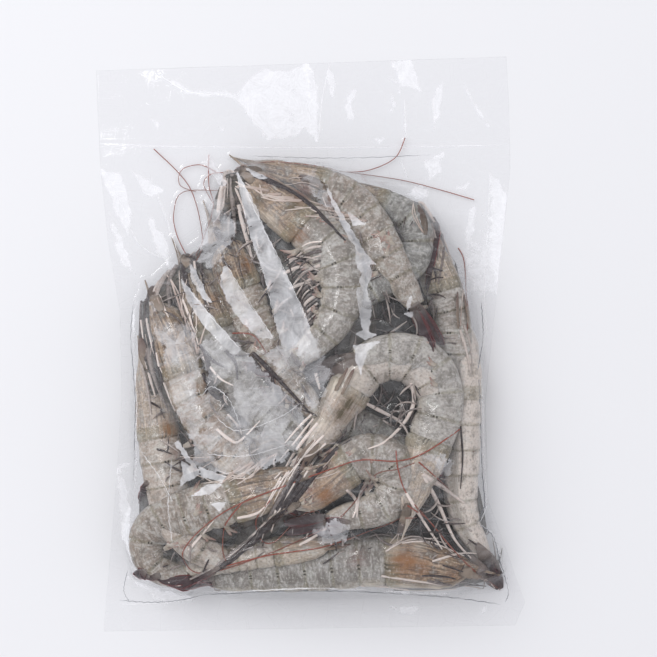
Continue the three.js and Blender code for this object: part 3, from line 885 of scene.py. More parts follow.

# %% [markdown]
# Where the film stands clear of the wet shrimp, its reflections are painted on as white. Each patch is an
# outline in the straight-down view: wide veils of painted glare in the first table, sharp pale shards of
# painted reflection in the second, and painted glints of the loose film in the third. The distance inside
# them is stored on the film, and its finish turns that into a ragged edge.

# %% Painted reflections: veils, shards and glints
# Veils of painted glare
PAINTED_GLARE_VEILS = (
    ((196, 348), (214, 338), (240, 342), (258, 360), (302, 406), (306, 420), (298, 445), (285, 458),
     (268, 463), (245, 470), (215, 470), (196, 462), (196, 440), (210, 420), (204, 395), (213, 386),
     (205, 365)),
    ((262, 352), (282, 345), (300, 330), (308, 322), (320, 345), (330, 372), (326, 395), (311, 407),
     (290, 385)),
    ((166, 350), (170, 330), (186, 316), (200, 336), (205, 362), (200, 385), (210, 420), (197, 440),
     (184, 420), (172, 385)),
    ((203, 190), (226, 200), (238, 235), (224, 262), (212, 270), (200, 262), (200, 225)),
    ((420, 452), (442, 450), (450, 460), (448, 472), (434, 471)),
    ((300, 176), (316, 172), (328, 195), (336, 215), (320, 205)),
    ((150, 300), (170, 308), (176, 330), (168, 352), (154, 330)),
    ((310, 525), (335, 513), (350, 520), (345, 535), (322, 540)),
)
# Shards of painted reflection
PAINTED_REFLECTION_SHARDS = (
    ((237, 172), (246, 186), (256, 205), (268, 235), (281, 262), (296, 292), (309, 322), (312, 330),
     (300, 345), (285, 352), (279, 335), (275, 315), (269, 288), (260, 262), (252, 240), (243, 205)),
    ((226, 262), (240, 285), (255, 308), (268, 326), (277, 340), (262, 338), (247, 326), (233, 308),
     (222, 285)),
    ((182, 278), (192, 288), (210, 310), (228, 330), (244, 350), (236, 356), (222, 342), (206, 325),
     (190, 302)),
    ((323, 180), (332, 198), (342, 216), (354, 236), (366, 256), (376, 266), (366, 266), (354, 250),
     (342, 230), (330, 204)),
    ((355, 248), (364, 258), (372, 274), (366, 290), (371, 306), (370, 322), (366, 338), (360, 326),
     (357, 308), (355, 292), (360, 276), (354, 262)),
    ((302, 336), (310, 326), (318, 346), (322, 360), (306, 352), (296, 358)),
    ((352, 345), (366, 342), (380, 340), (366, 352), (360, 376), (355, 360)),
    ((184, 456), (205, 470), (182, 484), (186, 470)), ((193, 492), (210, 480), (228, 478), (214, 490)),
    ((214, 498), (232, 496), (222, 506)), ((400, 590), (420, 592), (404, 594)),
    ((392, 587), (412, 588), (402, 591)), ((345, 212), (358, 222), (368, 228), (352, 228)),
    ((404, 302), (411, 292), (408, 308), (404, 312)), ((402, 314), (411, 312), (411, 320)),
    ((206, 150), (214, 162), (228, 185), (222, 190), (208, 170)),
    ((190, 262), (198, 270), (210, 295), (218, 306), (206, 300), (194, 282)),
    ((244, 168), (262, 175), (272, 182), (258, 182)), ((210, 208), (222, 212), (214, 228)),
    ((200, 462), (230, 472), (226, 478), (205, 474)), ((352, 334), (362, 330), (378, 334), (364, 340)),
    ((176, 440), (200, 470), (204, 468), (182, 438)), ((430, 452), (442, 458), (436, 468)),
)
# Painted glints of the loose film
PAINTED_GLINTS = (
    ((233, 96), (262, 68), (285, 73), (310, 60), (318, 84), (319, 110), (318, 143), (305, 128),
     (296, 136), (282, 140), (268, 141), (248, 116)),
    ((345, 98), (358, 86), (352, 106), (354, 124), (346, 118)),
    ((429, 100), (447, 74), (440, 110), (434, 130)), ((390, 62), (412, 58), (421, 92), (404, 88)),
    ((402, 118), (408, 124), (405, 134)), ((152, 68), (190, 90), (235, 93), (234, 98), (188, 96)),
    ((460, 78), (474, 98), (488, 126), (472, 104)), ((152, 120), (160, 124), (158, 132)),
    ((218, 127), (228, 130), (222, 134)), ((100, 168), (122, 175), (132, 210), (128, 235), (112, 205)),
    ((130, 170), (165, 190), (150, 200)), ((108, 215), (124, 240), (136, 275), (120, 262)),
    ((145, 208), (168, 240), (170, 270), (155, 250)),
    ((490, 175), (500, 180), (508, 196), (506, 250), (498, 300), (490, 262)),
    ((468, 210), (476, 204), (472, 236), (468, 262), (464, 238)),
    ((406, 194), (420, 182), (430, 196), (415, 200)), ((424, 160), (446, 150), (440, 172), (428, 180)),
    ((452, 190), (470, 182), (466, 190)), ((115, 465), (126, 478), (132, 520), (134, 560), (122, 540)),
    ((126, 576), (160, 588), (200, 598), (165, 604)), ((388, 606), (424, 605), (414, 616), (400, 613)),
    ((480, 612), (486, 604), (484, 616)), ((505, 520), (512, 540), (524, 580), (514, 572)),
    ((140, 282), (134, 300), (136, 340), (131, 320)), ((328, 62), (336, 80), (334, 100), (326, 84)),
    ((365, 140), (392, 136), (380, 144)),
)


def within(shapes, points):
    """Distance inside the nearest of several outlines."""
    far = np.full(points.shape[:-1], -1.0)
    for shape in shapes:
        corners = place(shape)
        box_low, box_high = corners.min(0) - 6 * MM, corners.max(0) + 6 * MM
        near = ((points > box_low) & (points < box_high)).all(-1)
        far[near] = np.maximum(far[near], inside(points[near], corners))
    return np.maximum(far, -6 * MM)


# %% [markdown]
# The film piece is a grid laid between the bag's left and right edges, so that its outline is exact. A
# short wall leads down to the lower sheet, which lies flat on the floor, so the piece is closed. A plane
# with a Solidify modifier would have two wavy sheets, and the lower one of a real bag lies flat.

# %% Film mesh
ROWS, COLS = 340, 252
TOP_V, BOTTOM_V = 57, 631
TOP_LEAN, BOTTOM_LEAN = 14, 6
LOWER_SHEET = 0.15 * MM
t = np.linspace(0, 1, ROWS)[:, None]
c = np.linspace(0, 1, COLS)[None, :]
v = TOP_V + (BOTTOM_V - TOP_V) * t + TOP_LEAN * (1 - c) * (1 - smooth(t / 0.05))
left = np.interp(v, FILM_EDGE[:, 0], FILM_EDGE[:, 1])
right = np.interp(v, FILM_EDGE[:, 0], FILM_EDGE[:, 2])
u = left + (right - left) * c
v = v - BOTTOM_LEAN * c * smooth((t - 0.9) / 0.1)
FXY = np.stack([(u - CENTRE_U) * UNIT, (CENTRE_V - v) * UNIT], -1)
top = np.concatenate([FXY, sample(film, FXY[..., 0], FXY[..., 1])[..., None]], -1)
rim_way = np.concatenate([
    np.arange(COLS), np.arange(1, ROWS) * COLS + COLS - 1,
    (ROWS - 1) * COLS + np.arange(COLS - 2, -1, -1), np.arange(ROWS - 2, 0, -1) * COLS])
points = top.reshape(-1, 3)
under = points[rim_way] * (1, 1, 0) + (0, 0, LOWER_SHEET)
start = len(points)
r = np.arange(ROWS - 1)[:, None] * COLS
k = np.arange(COLS - 1)[None, :]
quads = np.stack([r + k, r + COLS + k, r + COLS + k + 1, r + k + 1], -1).reshape(-1, 4)
k = np.arange(len(rim_way))
nxt = (k + 1) % len(k)
walls = np.stack([rim_way[k], rim_way[nxt], start + nxt, start + k], -1)
centre_point = start + len(under)
base_tris = np.stack([start + k, start + nxt, np.full(len(k), centre_point)], -1)
points = np.concatenate([points, under, [[0, 0, LOWER_SHEET]]])
flat = points[:, :2]
marks = {
    "painted_veil_mm": 1000 * within(PAINTED_GLARE_VEILS, flat), "painted_shard_mm": 1000 * within(PAINTED_REFLECTION_SHARDS, flat),
    "painted_glint_mm": 1000 * within(PAINTED_GLINTS, flat), "pile_mm": 1000 * inside(flat, PILE_XY),
    "gap_mm": 1000 * sample(stand_off, flat[:, 0], flat[:, 1])}
films = Heap(*marks)
films.add(points, np.concatenate([quads, walls]), base_tris, **marks)
film_top = films.mesh("film_bag")
film_top.data.polygons.foreach_set("use_smooth", np.arange(len(film_top.data.polygons)) < len(quads))
film_top.data.update()
print("film faces", len(film_top.data.polygons))

# %% [markdown]
# Folded edges of the film show as fine lines, dark where light is bent away and pale where it is caught.
# The dark lines are painted shade and the pale ones painted highlights.
# A row holds half the line's width in millimetres and its places. Each line wobbles slightly on the film
# and is thin at its ends.

# %% Painted film lines
# Lines of painted shade
PAINTED_SHADE_LINES = (
    (0.13, (250, 156), (300, 158), (360, 158), (430, 155)),
    (0.24, (476, 368), (478, 400), (480, 450), (484, 500), (482, 508), (475, 520)),
    (0.22, (482, 345), (478, 360), (476, 368)), (0.20, (481, 300), (483, 330), (482, 345)),
    (0.22, (475, 520), (492, 535), (499, 560), (508, 590), (505, 602)),
    (0.24, (205, 594), (260, 588), (310, 586), (350, 588)),
    (0.22, (350, 588), (400, 592), (450, 597), (500, 604)),
    (0.18, (120, 600), (150, 602), (180, 600), (205, 594)),
    (0.16, (134, 300), (131, 340), (137, 400), (136, 440), (134, 480)),
    (0.14, (128, 570), (124, 590), (130, 602)),
)
# Lines of painted highlight
PAINTED_HIGHLIGHT_LINES = (
    (0.30, (478, 368), (481, 400), (483, 450), (486, 500), (484, 510), (477, 521)),
    (0.26, (477, 521), (494, 536), (502, 562), (510, 590)),
    (0.34, (205, 591), (260, 586), (320, 583), (370, 586)), (0.34, (380, 587), (420, 591), (450, 592)),
    (0.24, (137, 300), (134, 340), (139, 400), (138, 440), (137, 480), (134, 500)),
    (0.22, (98, 146), (200, 147), (300, 148), (420, 147), (507, 145)),
    (0.20, (110, 180), (124, 210), (140, 245), (172, 262)), (0.20, (150, 175), (165, 215), (180, 258)),
    (0.22, (152, 70), (188, 92), (235, 95)), (0.20, (404, 100), (405, 120), (406, 140)),
    (0.18, (330, 62), (322, 100), (319, 140)), (0.20, (486, 262), (484, 300), (486, 330), (481, 350)),
    (0.20, (490, 172), (488, 220), (486, 262)), (0.18, (400, 160), (408, 178)),
    (0.20, (238, 172), (262, 225), (281, 262), (309, 322)), (0.16, (252, 240), (262, 262), (275, 315)),
    (0.16, (226, 262), (255, 308), (277, 340)), (0.16, (190, 288), (215, 318), (244, 350)),
    (0.16, (215, 410), (240, 428), (280, 415), (300, 402)), (0.16, (208, 450), (250, 452), (292, 440)),
    (0.16, (140, 445), (160, 470), (178, 500)), (0.16, (175, 455), (172, 500), (176, 540)),
    (0.16, (205, 395), (215, 385), (232, 398), (243, 425)), (0.18, (120, 604), (160, 603), (205, 597)),
)
shade_line_tubes, highlight_line_tubes = Heap("along", "edge"), Heap("along", "edge")
for heap, table in ((shade_line_tubes, PAINTED_SHADE_LINES), (highlight_line_tubes, PAINTED_HIGHLIGHT_LINES)):
    for thick, *way in table:
        line = traced(way, 24)
        wobble = 0.25 * MM * np.sin(np.arange(len(line)) * 0.9 + thick * 70)
        line += wobble[:, None] * (0.5, 0.5, 0)
        line[:, 2] = sample(film, line[:, 0], line[:, 1]) + 0.12 * MM
        taper = np.clip(8 * np.minimum(np.linspace(0, 1, len(line)), np.linspace(1, 0, len(line))), 0.25, 1)
        strand(heap, line, thick * taper * MM, cols=6, flat=0.6)
print("dark lines", len(PAINTED_SHADE_LINES), "pale lines", len(PAINTED_HIGHLIGHT_LINES))

# %% [markdown]
# A finish is a tree of nodes. One function turns a hex colour into linear light, and one adds any node
# with its settings and links, so that a line below is a node. A pattern's scale says how many of its cells
# lie along a centimetre: of plain space for most pieces, of skin for the shells.

# %% Material helpers
def linear(code):
    """A hex colour as linear RGBA."""
    rgb = [int(code[i:i + 2], 16) / 255 for i in (1, 3, 5)]
    return [x / 12.92 if x <= 0.04045 else ((x + 0.055) / 1.055) ** 2.4 for x in rgb] + [1.0]


def node(tree, kind, inputs=None, out=0, **settings):
    """Adds a node with its settings, fills or links its inputs, and returns one of its outputs."""
    made = tree.nodes.new("ShaderNode" + kind)
    for key, item in settings.items():
        setattr(made, key, item)
    for key, item in (inputs or {}).items():
        if isinstance(item, bpy.types.NodeSocket):
            tree.links.new(item, made.inputs[key])
        else:
            made.inputs[key].default_value = item
    return made.outputs[out] if made.outputs else made


SOFT = {"interpolation_type": "SMOOTHSTEP"}
RGB = {"out": 2, "data_type": "RGBA"}
PER_CM = 1 / (10 * MM)
SKIN_PER_CM = 0.1


def material(name):
    """An empty material and its node tree."""
    made = bpy.data.materials.new(name)
    made.use_nodes = True
    made.node_tree.nodes.clear()
    return made, made.node_tree


print("white in linear light", linear("#ffffff")[:3])


# %% [markdown]
# Raw whiteleg shell is a thin, wet, translucent layer over pale flesh. It grew and was never polished, so
# the eye sees soft grey rings and beige-brown heads under a sharp wet shine. From large to fine, the
# finish mixes streaks, blotches, fibres of the head, specks, stains of the organs, dark hinges between the
# rings and fine dots. The deep folds get a little painted shade. The specks are as coarse as the render
# can show.

# %% Raw shrimp shell
mat_shell, tree = material("raw_shrimp_shell")
VALUES = ("along", "depth", "rim", "tone", "warm_head", "pale", "shade", "long_mm", "round_mm", *STAINS)
along, depth, rim, tone, warm, pale, shade, long_mm, round_mm, orange, olive, red, bone = (
    node(tree, "Attribute", out="Fac", attribute_name=n) for n in VALUES)
skin = node(tree, "CombineXYZ", {0: long_mm, 1: round_mm, 2: 0.0})
BLOTCHES, SPECKS, STREAKS, FIBRES = 1.6, 9, (3.4, 1.4), (0.35, 7.5)
blotch = node(tree, "TexNoise", {
    "Vector": skin, "Scale": BLOTCHES * SKIN_PER_CM, "Detail": 5.0, "Roughness": 0.6})
fine = node(tree, "TexNoise", {
    "Vector": skin, "Scale": SPECKS * SKIN_PER_CM, "Detail": 5.0, "Roughness": 0.65})
streak_at = node(tree, "Mapping", {"Vector": skin, "Scale": (*(n * SKIN_PER_CM for n in STREAKS), 1)})
streak = node(tree, "TexNoise", {"Vector": streak_at, "Scale": 1.0, "Detail": 4.0, "Distortion": 1.8})
spots = node(tree, "TexVoronoi", {
    "Vector": skin, "Scale": SPECKS * SKIN_PER_CM, "Randomness": 1.0}, out="Distance")
print("shell patterns, cells along a centimetre", BLOTCHES, SPECKS, STREAKS, FIBRES)

# %% [markdown]
# The belly rings are grey, or beige on a warm shrimp, with pale streaks. The head shell is mottled brown
# with dark and pale fibres along it. The two meet just behind the head, and a pale shrimp gets a last coat
# of bone white over both.

# %% Colours of the rings and the head
belly_ring = node(tree, "Mix", {0: tone, 6: linear("#737371"), 7: linear("#866e5a")}, **RGB)
light = node(tree, "MapRange", {0: streak, 1: 0.40, 2: 0.68, 3: 0.0, 4: 0.55}, **SOFT)
belly_ring = node(tree, "Mix", {0: light, 6: belly_ring, 7: linear("#bebdb9")}, **RGB)
patch = node(tree, "MapRange", {0: blotch, 1: 0.42, 2: 0.58}, **SOFT)
cool_head = node(tree, "Mix", {0: patch, 6: linear("#665a50"), 7: linear("#a59886")}, **RGB)
warm_head = node(tree, "Mix", {0: patch, 6: linear("#4f3728"), 7: linear("#977556")}, **RGB)
head_shell = node(tree, "Mix", {0: warm, 6: cool_head, 7: warm_head}, **RGB)
fibre_at = node(tree, "Mapping", {"Vector": skin, "Scale": (*(n * SKIN_PER_CM for n in FIBRES), 1)})
fibre = node(tree, "TexNoise", {
    "Vector": fibre_at, "Scale": 1.0, "Detail": 6.0, "Roughness": 0.62, "Distortion": 1.6})
for start, end, most, code in ((0.50, 0.60, 0.78, "#33231b"), (0.48, 0.34, 0.62, "#c8b299")):
    part = node(tree, "MapRange", {0: fibre, 1: start, 2: end, 3: 0.0, 4: most}, **SOFT)
    head_shell = node(tree, "Mix", {0: part, 6: head_shell, 7: linear(code)}, **RGB)
onward = node(tree, "MapRange", {0: along, 1: 0.31, 2: 0.36}, **SOFT)
colour = node(tree, "Mix", {0: onward, 6: head_shell, 7: belly_ring}, **RGB)
colour = node(tree, "Mix", {0: pale, 6: colour, 7: linear("#cec4bc")}, **RGB)
print("nodes for the two base colours", len(tree.nodes))

# %% [markdown]
# Each mark is a source, a range that turns it into a share, the most of it, and a colour: a pale belly, a
# dark line along the back, olive ring edges, blotches and specks. Then come the organs' stains, the dark
# hinges at the ring edges and the fine dots.

# %% Marks on the shell
for source, start, end, most, code in (
        (depth, -0.55, -0.98, 0.50, "#b9b0a2"), (depth, 0.955, 0.995, 0.45, "#5d5a52"),
        (rim, 0.3, 1.0, 0.40, "#68623f"), (blotch, 0.49, 0.64, 0.50, "#4a453b"),
        (blotch, 0.47, 0.34, 0.42, "#aeafa9"), (fine, 0.49, 0.68, 0.52, "#4c4841"),
        (fine, 0.46, 0.32, 0.50, "#d3d1cd")):
    part = node(tree, "MapRange", {0: source, 1: start, 2: end, 3: 0.0, 4: most}, **SOFT)
    colour = node(tree, "Mix", {0: part, 6: colour, 7: linear(code)}, **RGB)
edge_by = node(tree, "MapRange", {0: fibre, 1: 0.30, 2: 0.62, 3: 1.5, 4: 0.45}, **SOFT)
for source, code in ((bone, "#d3c9bb"), (orange, "#7d4c12"), (olive, "#3a3004"), (red, "#6e3630")):
    part = node(tree, "Math", {0: source, 1: edge_by}, operation="MULTIPLY")
    part = node(tree, "Math", {0: part, 1: 0.88}, operation="MINIMUM")
    colour = node(tree, "Mix", {0: part, 6: colour, 7: linear(code)}, **RGB)
at_rim = node(tree, "MapRange", {0: rim, 1: 0.55, 2: 0.85}, **SOFT)
for side in (-0.26, -0.12):
    hinge = node(tree, "Math", {0: depth, 1: side, 2: 0.035}, operation="COMPARE")
    hinge = node(tree, "Math", {0: hinge, 1: at_rim}, operation="MULTIPLY")
    hinge = node(tree, "Math", {0: hinge, 1: onward}, operation="MULTIPLY")
    colour = node(tree, "Mix", {0: hinge, 6: colour, 7: linear("#2c261d")}, **RGB)
dots = node(tree, "MapRange", {0: spots, 1: 0.16, 2: 0.08}, **SOFT)
where = node(tree, "MapRange", {0: blotch, 1: 0.46, 2: 0.58, 3: 0.0, 4: 0.6}, **SOFT)
dots = node(tree, "Math", {0: dots, 1: where}, operation="MULTIPLY")
colour = node(tree, "Mix", {0: dots, 6: colour, 7: linear("#3d332a")}, **RGB)
print("nodes with the marks", len(tree.nodes))

# %% [markdown]
# Shade gathers where shells meet, so painted shade darkens hollows narrower than 9 mm, and the shrimp that
# lie in the shade. A roughness of 0.32 under a thin coat is wet shell, the fine specks raise it by a
# fraction of a millimetre, and a little light passes under its surface.

# %% Painted shade and wet surface of the shell
# Painted shade: hollows and shrimp in the shade are mixed towards near black
painted_crevice_shade = node(tree, "AmbientOcclusion", {"Distance": 9 * MM}, out="AO", samples=6, only_local=True)
painted_crevice_shade = node(tree, "MapRange", {0: painted_crevice_shade, 1: 0.15, 2: 0.75, 3: 0.85, 4: 0.0})
painted_shade_mix = node(tree, "Math", {0: shade, 1: 0.80}, operation="MULTIPLY")
painted_shade_mix = node(tree, "Math", {0: painted_shade_mix, 1: painted_crevice_shade}, operation="MAXIMUM")
colour = node(tree, "Mix", {0: painted_shade_mix, 6: colour, 7: linear("#262524")}, **RGB)
relief = node(tree, "Bump", {"Strength": 0.25, "Distance": 0.4 * MM, "Height": fine})
surface = node(tree, "BsdfPrincipled", {
    "Base Color": colour, "Roughness": 0.32, "Normal": relief, "Subsurface Weight": 0.25,
    "Subsurface Radius": (1.0, 0.8, 0.6), "Subsurface Scale": 0.002, "Coat Weight": 0.4})
node(tree, "OutputMaterial", {"Surface": surface})
shrimp.data.materials.append(mat_shell)
print("shell nodes", len(tree.nodes))

# %% [markdown]
# Legs, blades and feelers are the same wet shell, only thinner, so they share one recipe: a root colour, a
# tip colour, an edge colour, a fleck of noise between them, and a wet surface that lets a little light in.
# The loose strands go from pale to dark by their own shade instead.

# %% Limbs, blades, eyes, antennae and the painted shade core
def limb_finish(name, root, tip, edge, start, end, rough=0.35, under=0.2, by="along"):
    """A wet translucent finish that goes from a root colour to a tip colour, with a coloured edge."""
    made, tree = material(name)
    share = node(tree, "Attribute", out="Fac", attribute_name=by)
    share = node(tree, "MapRange", {0: share, 1: start, 2: end}, **SOFT)
    spot = node(tree, "TexCoord", out="Object")
    fleck = node(tree, "TexNoise", {"Vector": spot, "Scale": 9 * PER_CM, "Detail": 3.0})
    fleck = node(tree, "MapRange", {0: fleck, 1: 0.0, 2: 1.0, 3: -0.25, 4: 0.25})
    share = node(tree, "Math", {0: share, 1: fleck}, operation="ADD", use_clamp=True)
    colour = node(tree, "Mix", {0: share, 6: linear(root), 7: linear(tip)}, **RGB)
    side = node(tree, "Attribute", out="Fac", attribute_name="edge")
    side = node(tree, "MapRange", {0: side, 1: 0.80, 2: 1.0, 3: 0.0, 4: 0.8}, **SOFT)
    side = node(tree, "Math", {0: side, 1: share}, operation="MULTIPLY")
    colour = node(tree, "Mix", {0: side, 6: colour, 7: linear(edge)}, **RGB)
    surface = node(tree, "BsdfPrincipled", {
        "Base Color": colour, "Roughness": rough, "Subsurface Weight": under,
        "Subsurface Radius": (1.0, 0.7, 0.6), "Subsurface Scale": 0.001})
    node(tree, "OutputMaterial", {"Surface": surface})
    return made


finishes = (
    (legs, "walking_legs", "shrimp_leg", ("raw_leg", "#a8968d", "#c9bcb4", "#c9bcb4", 0.1, 0.9)),
    (straps, "loose_strands", "shrimp_leg",
     ("raw_strand", "#d8ccc5", "#2a2225", "#6a5450", 0.05, 0.95, 0.3, 0.2, "tone")),
    (swimmers, "swimming_legs", "shrimp_leg",
     ("raw_swimming_leg", "#a69c90", "#8d6f68", "#6d4f4a", 0.35, 1.0)),
    (scales, "head_scales", "shrimp_leg", ("raw_scale", "#7f7266", "#6a5650", "#5c4442", 0.3, 1.0)),
    (fans, "tail_blades", "shrimp_tail", ("raw_tail", "#6f6661", "#30191f", "#8a2a2c", 0.02, 0.45)),
    (eyes, "eyes", "pack_shadow", ("raw_eye", "#0c0b0d", "#15120f", "#0c0b0d", 0.0, 1.0, 0.1, 0.0)),
    # The shade core is painted shade: a near-black finish under the gaps of the pile
    (shade_core, "painted_shade_core", "pack_shadow",
     ("painted_shade_core_finish", "#1f1e1e", "#262525", "#1f1e1e", 0.0, 1.0, 0.25, 0.0)),
    (feelers, "antennae", "shrimp_antenna", ("raw_antenna", "#8e4434", "#7d4a3e", "#8e4434", 0.0, 1.0)))
loose_pieces = []
for heap, name, slot, finish in finishes:
    piece = heap.mesh(name)
    piece.data.materials.append(limb_finish(*finish))
    loose_pieces.append((piece, slot))
print("finished", [piece.name for piece, _ in loose_pieces])

# %% [markdown]
# Vacuum film is a clear laminate of nylon and polyethylene, blown thin and slightly wrinkled. Light passes
# straight through it, and both of its faces reflect. A glass finish would bend the light and darken what
# lies below. So a transparent surface is mixed with a glossy one, more of it at a slant, with nylon's IOR,
# and with white diffuse where its reflections are painted on. It casts no shadow: so thin a film hardly
# dims the light.

# %% Clear film
mat_film, tree = material("clear_laminate_film")
veil_reflection, shard_reflection, glint_highlight, gap, pile_in = (
    node(tree, "Attribute", out="Fac", attribute_name=n)
    for n in ("painted_veil_mm", "painted_shard_mm", "painted_glint_mm", "gap_mm", "pile_mm"))
spot = node(tree, "TexCoord", out="Object")
RAGGED, CLOUDS, TEARS, PANES = 2.6, 0.7, 0.8, 0.95
ragged = node(tree, "TexNoise", {"Vector": spot, "Scale": RAGGED * PER_CM, "Detail": 4.0, "Roughness": 0.6})
cloud = node(tree, "TexNoise", {
    "Vector": spot, "Scale": CLOUDS * PER_CM, "Detail": 5.0, "Roughness": 0.65, "Distortion": 1.5})
torn = node(tree, "TexNoise", {
    "Vector": spot, "Scale": TEARS * PER_CM, "Detail": 6.0, "Roughness": 0.65, "Distortion": 0.5})
FACETS = {"Vector": spot, "Scale": PANES * PER_CM, "Randomness": 1.0}
facet = node(tree, "TexVoronoi", FACETS, out="Color")
torn = node(tree, "Mix", {0: 0.22, 6: torn, 7: facet}, **RGB)
DRAWN_TURN = 1.05
DRAWN_SCALE = (0.6 * PER_CM, 4.2 * PER_CM, 0.6 * PER_CM)
drawn_at = node(tree, "Mapping", {"Vector": spot, "Rotation": (0, 0, DRAWN_TURN), "Scale": DRAWN_SCALE})
drawn = node(tree, "TexNoise", {"Vector": drawn_at, "Scale": 1.0, "Detail": 4.0, "Distortion": 0.6})
cells = node(tree, "TexVoronoi", FACETS, out="Distance", feature="DISTANCE_TO_EDGE")
print("film patterns, cells along a centimetre", RAGGED, CLOUDS, TEARS, PANES)

# %% [markdown]
# A patch of painted reflection begins where the distance inside its outline, shifted by the ragged noise,
# passes zero. A soft width and a greatest cover make it a veil, a shard or a glint, and torn or cloudy
# noise makes it uneven. Thin painted wisps, a network of fine painted veins and a breath of painted white
# over the gaps are added at the end.

# %% Painted reflections on the film
painted_reflection = None
for source, soft, wobble, most, marks_by in (
        (veil_reflection, 0.9, 2.6, 0.24, torn), (shard_reflection, 0.35, 0.7, 0.50, cloud), (glint_highlight, 0.8, 1.6, 0.60, cloud)):
    shift = node(tree, "MapRange", {0: ragged, 1: 0.25, 2: 0.75, 3: -wobble, 4: wobble})
    moved = node(tree, "Math", {0: source, 1: shift}, operation="ADD")
    cover = node(tree, "MapRange", {0: moved, 1: 0.0, 2: soft, 3: 0.0, 4: most}, **SOFT)
    least, most_dense = (0.05, 1.7) if marks_by == torn else (0.45, 1.15)
    body = node(tree, "MapRange", {0: marks_by, 1: 0.33, 2: 0.67, 3: least, 4: most_dense})
    cover = node(tree, "Math", {0: cover, 1: body}, operation="MULTIPLY", use_clamp=True)
    painted_reflection = cover if painted_reflection is None else node(tree, "Math", {0: painted_reflection, 1: cover}, operation="MAXIMUM")
painted_gap_sheen = node(tree, "MapRange", {0: gap, 1: 0.6, 2: 6.0, 3: 0.0, 4: 0.03}, **SOFT)
painted_wisp = node(tree, "MapRange", {0: drawn, 1: 0.55, 2: 0.75, 3: 0.0, 4: 0.10}, **SOFT)
over_pile = node(tree, "MapRange", {0: pile_in, 1: -3.0, 2: 3.0, 3: 0.35, 4: 1.0}, **SOFT)
painted_wisp = node(tree, "Math", {0: painted_wisp, 1: over_pile}, operation="MULTIPLY")
painted_vein = node(tree, "MapRange", {0: cells, 1: 0.02, 2: 0.0, 3: 0.0, 4: 0.06})
for extra in (painted_gap_sheen, painted_wisp, painted_vein):
    painted_reflection = node(tree, "Math", {0: painted_reflection, 1: extra}, operation="ADD", use_clamp=True)
print("nodes with the patches", len(tree.nodes))

# %% [markdown]
# Small folds tilt the gloss, which is stronger on the loose film than on the wet pile. The lower sheet
# gets none, because seen from inside it would mirror everything at a slant and look black.

# %% Gloss of the film
folds = node(tree, "Math", {0: ragged, 1: 0.22, 2: cloud}, operation="MULTIPLY_ADD")
crinkle = node(tree, "Bump", {"Strength": 0.20, "Distance": MM, "Height": folds})
clear = node(tree, "BsdfTransparent", {"Color": (0.985, 0.985, 0.988, 1)})
gloss = node(tree, "BsdfGlossy", {"Roughness": 0.06, "Normal": crinkle})
mirror = node(tree, "Fresnel", {"IOR": 1.52, "Normal": crinkle})
pressed = node(tree, "MapRange", {0: pile_in, 1: -2.0, 2: 4.0, 3: 1.8, 4: 0.85}, **SOFT)
mirror = node(tree, "Math", {0: mirror, 1: pressed}, operation="MULTIPLY", use_clamp=True)
height = node(tree, "SeparateXYZ", {0: spot}, out="Z")
upper = node(tree, "MapRange", {0: height, 1: 0.2 * MM, 2: 0.5 * MM})
mirror = node(tree, "Math", {0: mirror, 1: upper}, operation="MULTIPLY")
plain = node(tree, "MixShader", {0: mirror, 1: clear, 2: gloss})
# Painted white of the reflections, mixed in where the patches cover the film
painted_white_diffuse = node(tree, "BsdfDiffuse", {"Color": linear("#eeeff3"), "Normal": crinkle})
surface = node(tree, "MixShader", {0: painted_reflection, 1: plain, 2: painted_white_diffuse})
node(tree, "OutputMaterial", {"Surface": surface})
film_top.data.materials.append(mat_film)
film_top.visible_shadow = False
film_top.visible_diffuse = False
print("film nodes", len(tree.nodes))

# %% [markdown]
# A folded edge of film bends light away or catches it, so it shows as a broken grey or white line, which
# is painted on as shade or highlight. The lines are real thin tubes on the film, so that they keep their
# shape in an export. Their finish is partly see-through, and a coarse noise breaks it up.

# %% Painted edge lines of the film
FILM_LINES = (
    (shade_line_tubes, "film_lines_painted_shade", "#8d9096", 0.55),
    (highlight_line_tubes, "film_lines_painted_highlight", "#f2f3f6", 0.34))
for heap, name, code, see in FILM_LINES:
    made, tree = material(name)
    solid = node(tree, "BsdfDiffuse", {"Color": linear(code)})
    clear = node(tree, "BsdfTransparent", {"Color": (1, 1, 1, 1)})
    spot = node(tree, "TexCoord", out="Object")
    patchy = node(tree, "TexNoise", {"Vector": spot, "Scale": 1.2 * PER_CM, "Detail": 2.0})
    share = node(tree, "MapRange", {0: patchy, 1: 0.35, 2: 0.65, 3: see * 0.4, 4: min(1.0, see * 1.5)})
    surface = node(tree, "MixShader", {0: share, 1: clear, 2: solid})
    node(tree, "OutputMaterial", {"Surface": surface})
    piece = heap.mesh(name)
    piece.data.materials.append(made)
    piece.visible_shadow = False
    piece.visible_diffuse = False
    loose_pieces.append((piece, "clear_film"))
print("film line pieces", len(FILM_LINES))

# %% [markdown]
# Each Blender piece takes the place of the imported solid and rides on the one body that the imported part
# has.

# %% Hand the pieces to the frame
for piece, slot in [(shrimp, "packed_shrimp"), (film_top, "clear_film")] + loose_pieces:
    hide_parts(NODE)
    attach(piece, "root")
print("pieces", 2 + len(loose_pieces))

# %% [markdown]
# The floor is plain and pale, and the sky is nearly white. A large soft lamp hangs to the upper left, and
# two weak ones fill the shadows. None of the three is mirrored in the film. Two smaller boxes are, and
# they give it its bright spots.

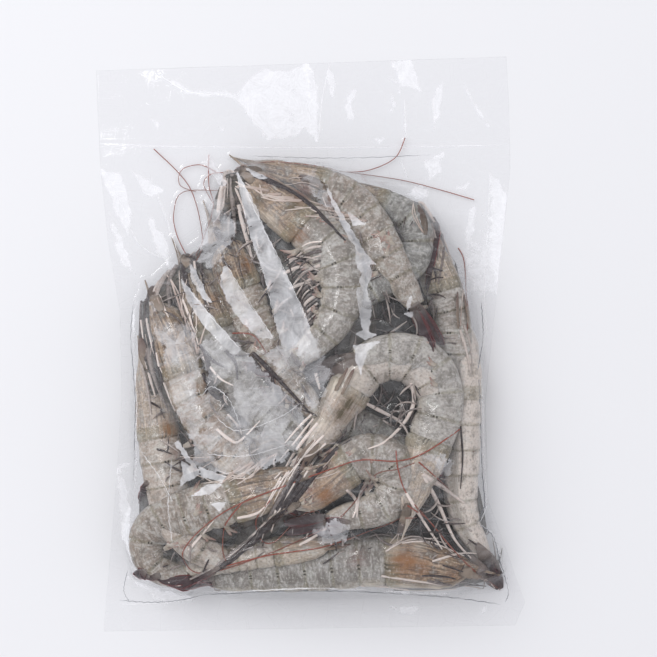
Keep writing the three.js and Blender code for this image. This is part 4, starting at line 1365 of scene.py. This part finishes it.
# %% Floor and light
bpy.ops.mesh.primitive_plane_add(size=6, location=(0, 0, -0.0002))
floor = bpy.context.object
floor.name = "floor"
mat_floor, tree = material("floor_white")
surface = node(tree, "BsdfPrincipled", {"Base Color": linear("#dfe0e3"), "Roughness": 0.8})
node(tree, "OutputMaterial", {"Surface": surface})
floor.data.materials.append(mat_floor)

world = bpy.data.worlds.new("studio")
bpy.context.scene.world = world
world.use_nodes = True
sky = world.node_tree.nodes["Background"]
sky.inputs["Color"].default_value = (0.94, 0.932, 0.958, 1)
sky.inputs["Strength"].default_value = 0.88


def lamp(name, place_m, size, power, mirrored):
    """An area lamp aimed at the bag. A lamp that isn't mirrored doesn't show as a highlight."""
    data = bpy.data.lights.new(name, "AREA")
    data.shape = "RECTANGLE"
    data.size, data.size_y, data.energy = size[0], size[1], power
    made = bpy.data.objects.new(name, data)
    made.location = place_m
    made.rotation_euler = (-Vector(place_m)).to_track_quat("-Z", "Y").to_euler()
    made.visible_glossy = mirrored
    bpy.context.scene.collection.objects.link(made)


lamp("key", (-1.10, 0.95, 1.15), (1.3, 1.3), 15, False)
lamp("fill_right", (1.50, 0.20, 1.00), (1.3, 1.3), 2, False)
lamp("fill_front", (-0.10, -1.55, 1.05), (1.6, 1.0), 2, False)
lamp("small_box", (-0.50, 0.42, 1.70), (0.24, 0.24), 1.3, True)
lamp("wide_box", (-0.75, 0.60, 1.55), (0.6, 0.6), 1.6, True)
bpy.context.scene.view_settings.view_transform = "Standard"
print("lights", [light.name for light in bpy.data.lights])

# %% [markdown]
# The camera looks straight down from far enough that the pile's height hardly widens its top. The width of
# its sensor follows from the view's width on the floor, 657 places of the view.

# %% Camera and size
IMAGE = 657
DISTANCE = 1.3
LENS = 85
camera_data = bpy.data.cameras.new("camera")
camera_data.lens = LENS
camera_data.sensor_width = LENS * IMAGE * UNIT / DISTANCE
camera = bpy.data.objects.new("camera", camera_data)
camera.location = (*place((IMAGE / 2, IMAGE / 2)), DISTANCE)
bpy.context.scene.collection.objects.link(camera)
bpy.context.scene.camera = camera
print("view width on the floor, mm", round(IMAGE * UNIT / MM, 1))
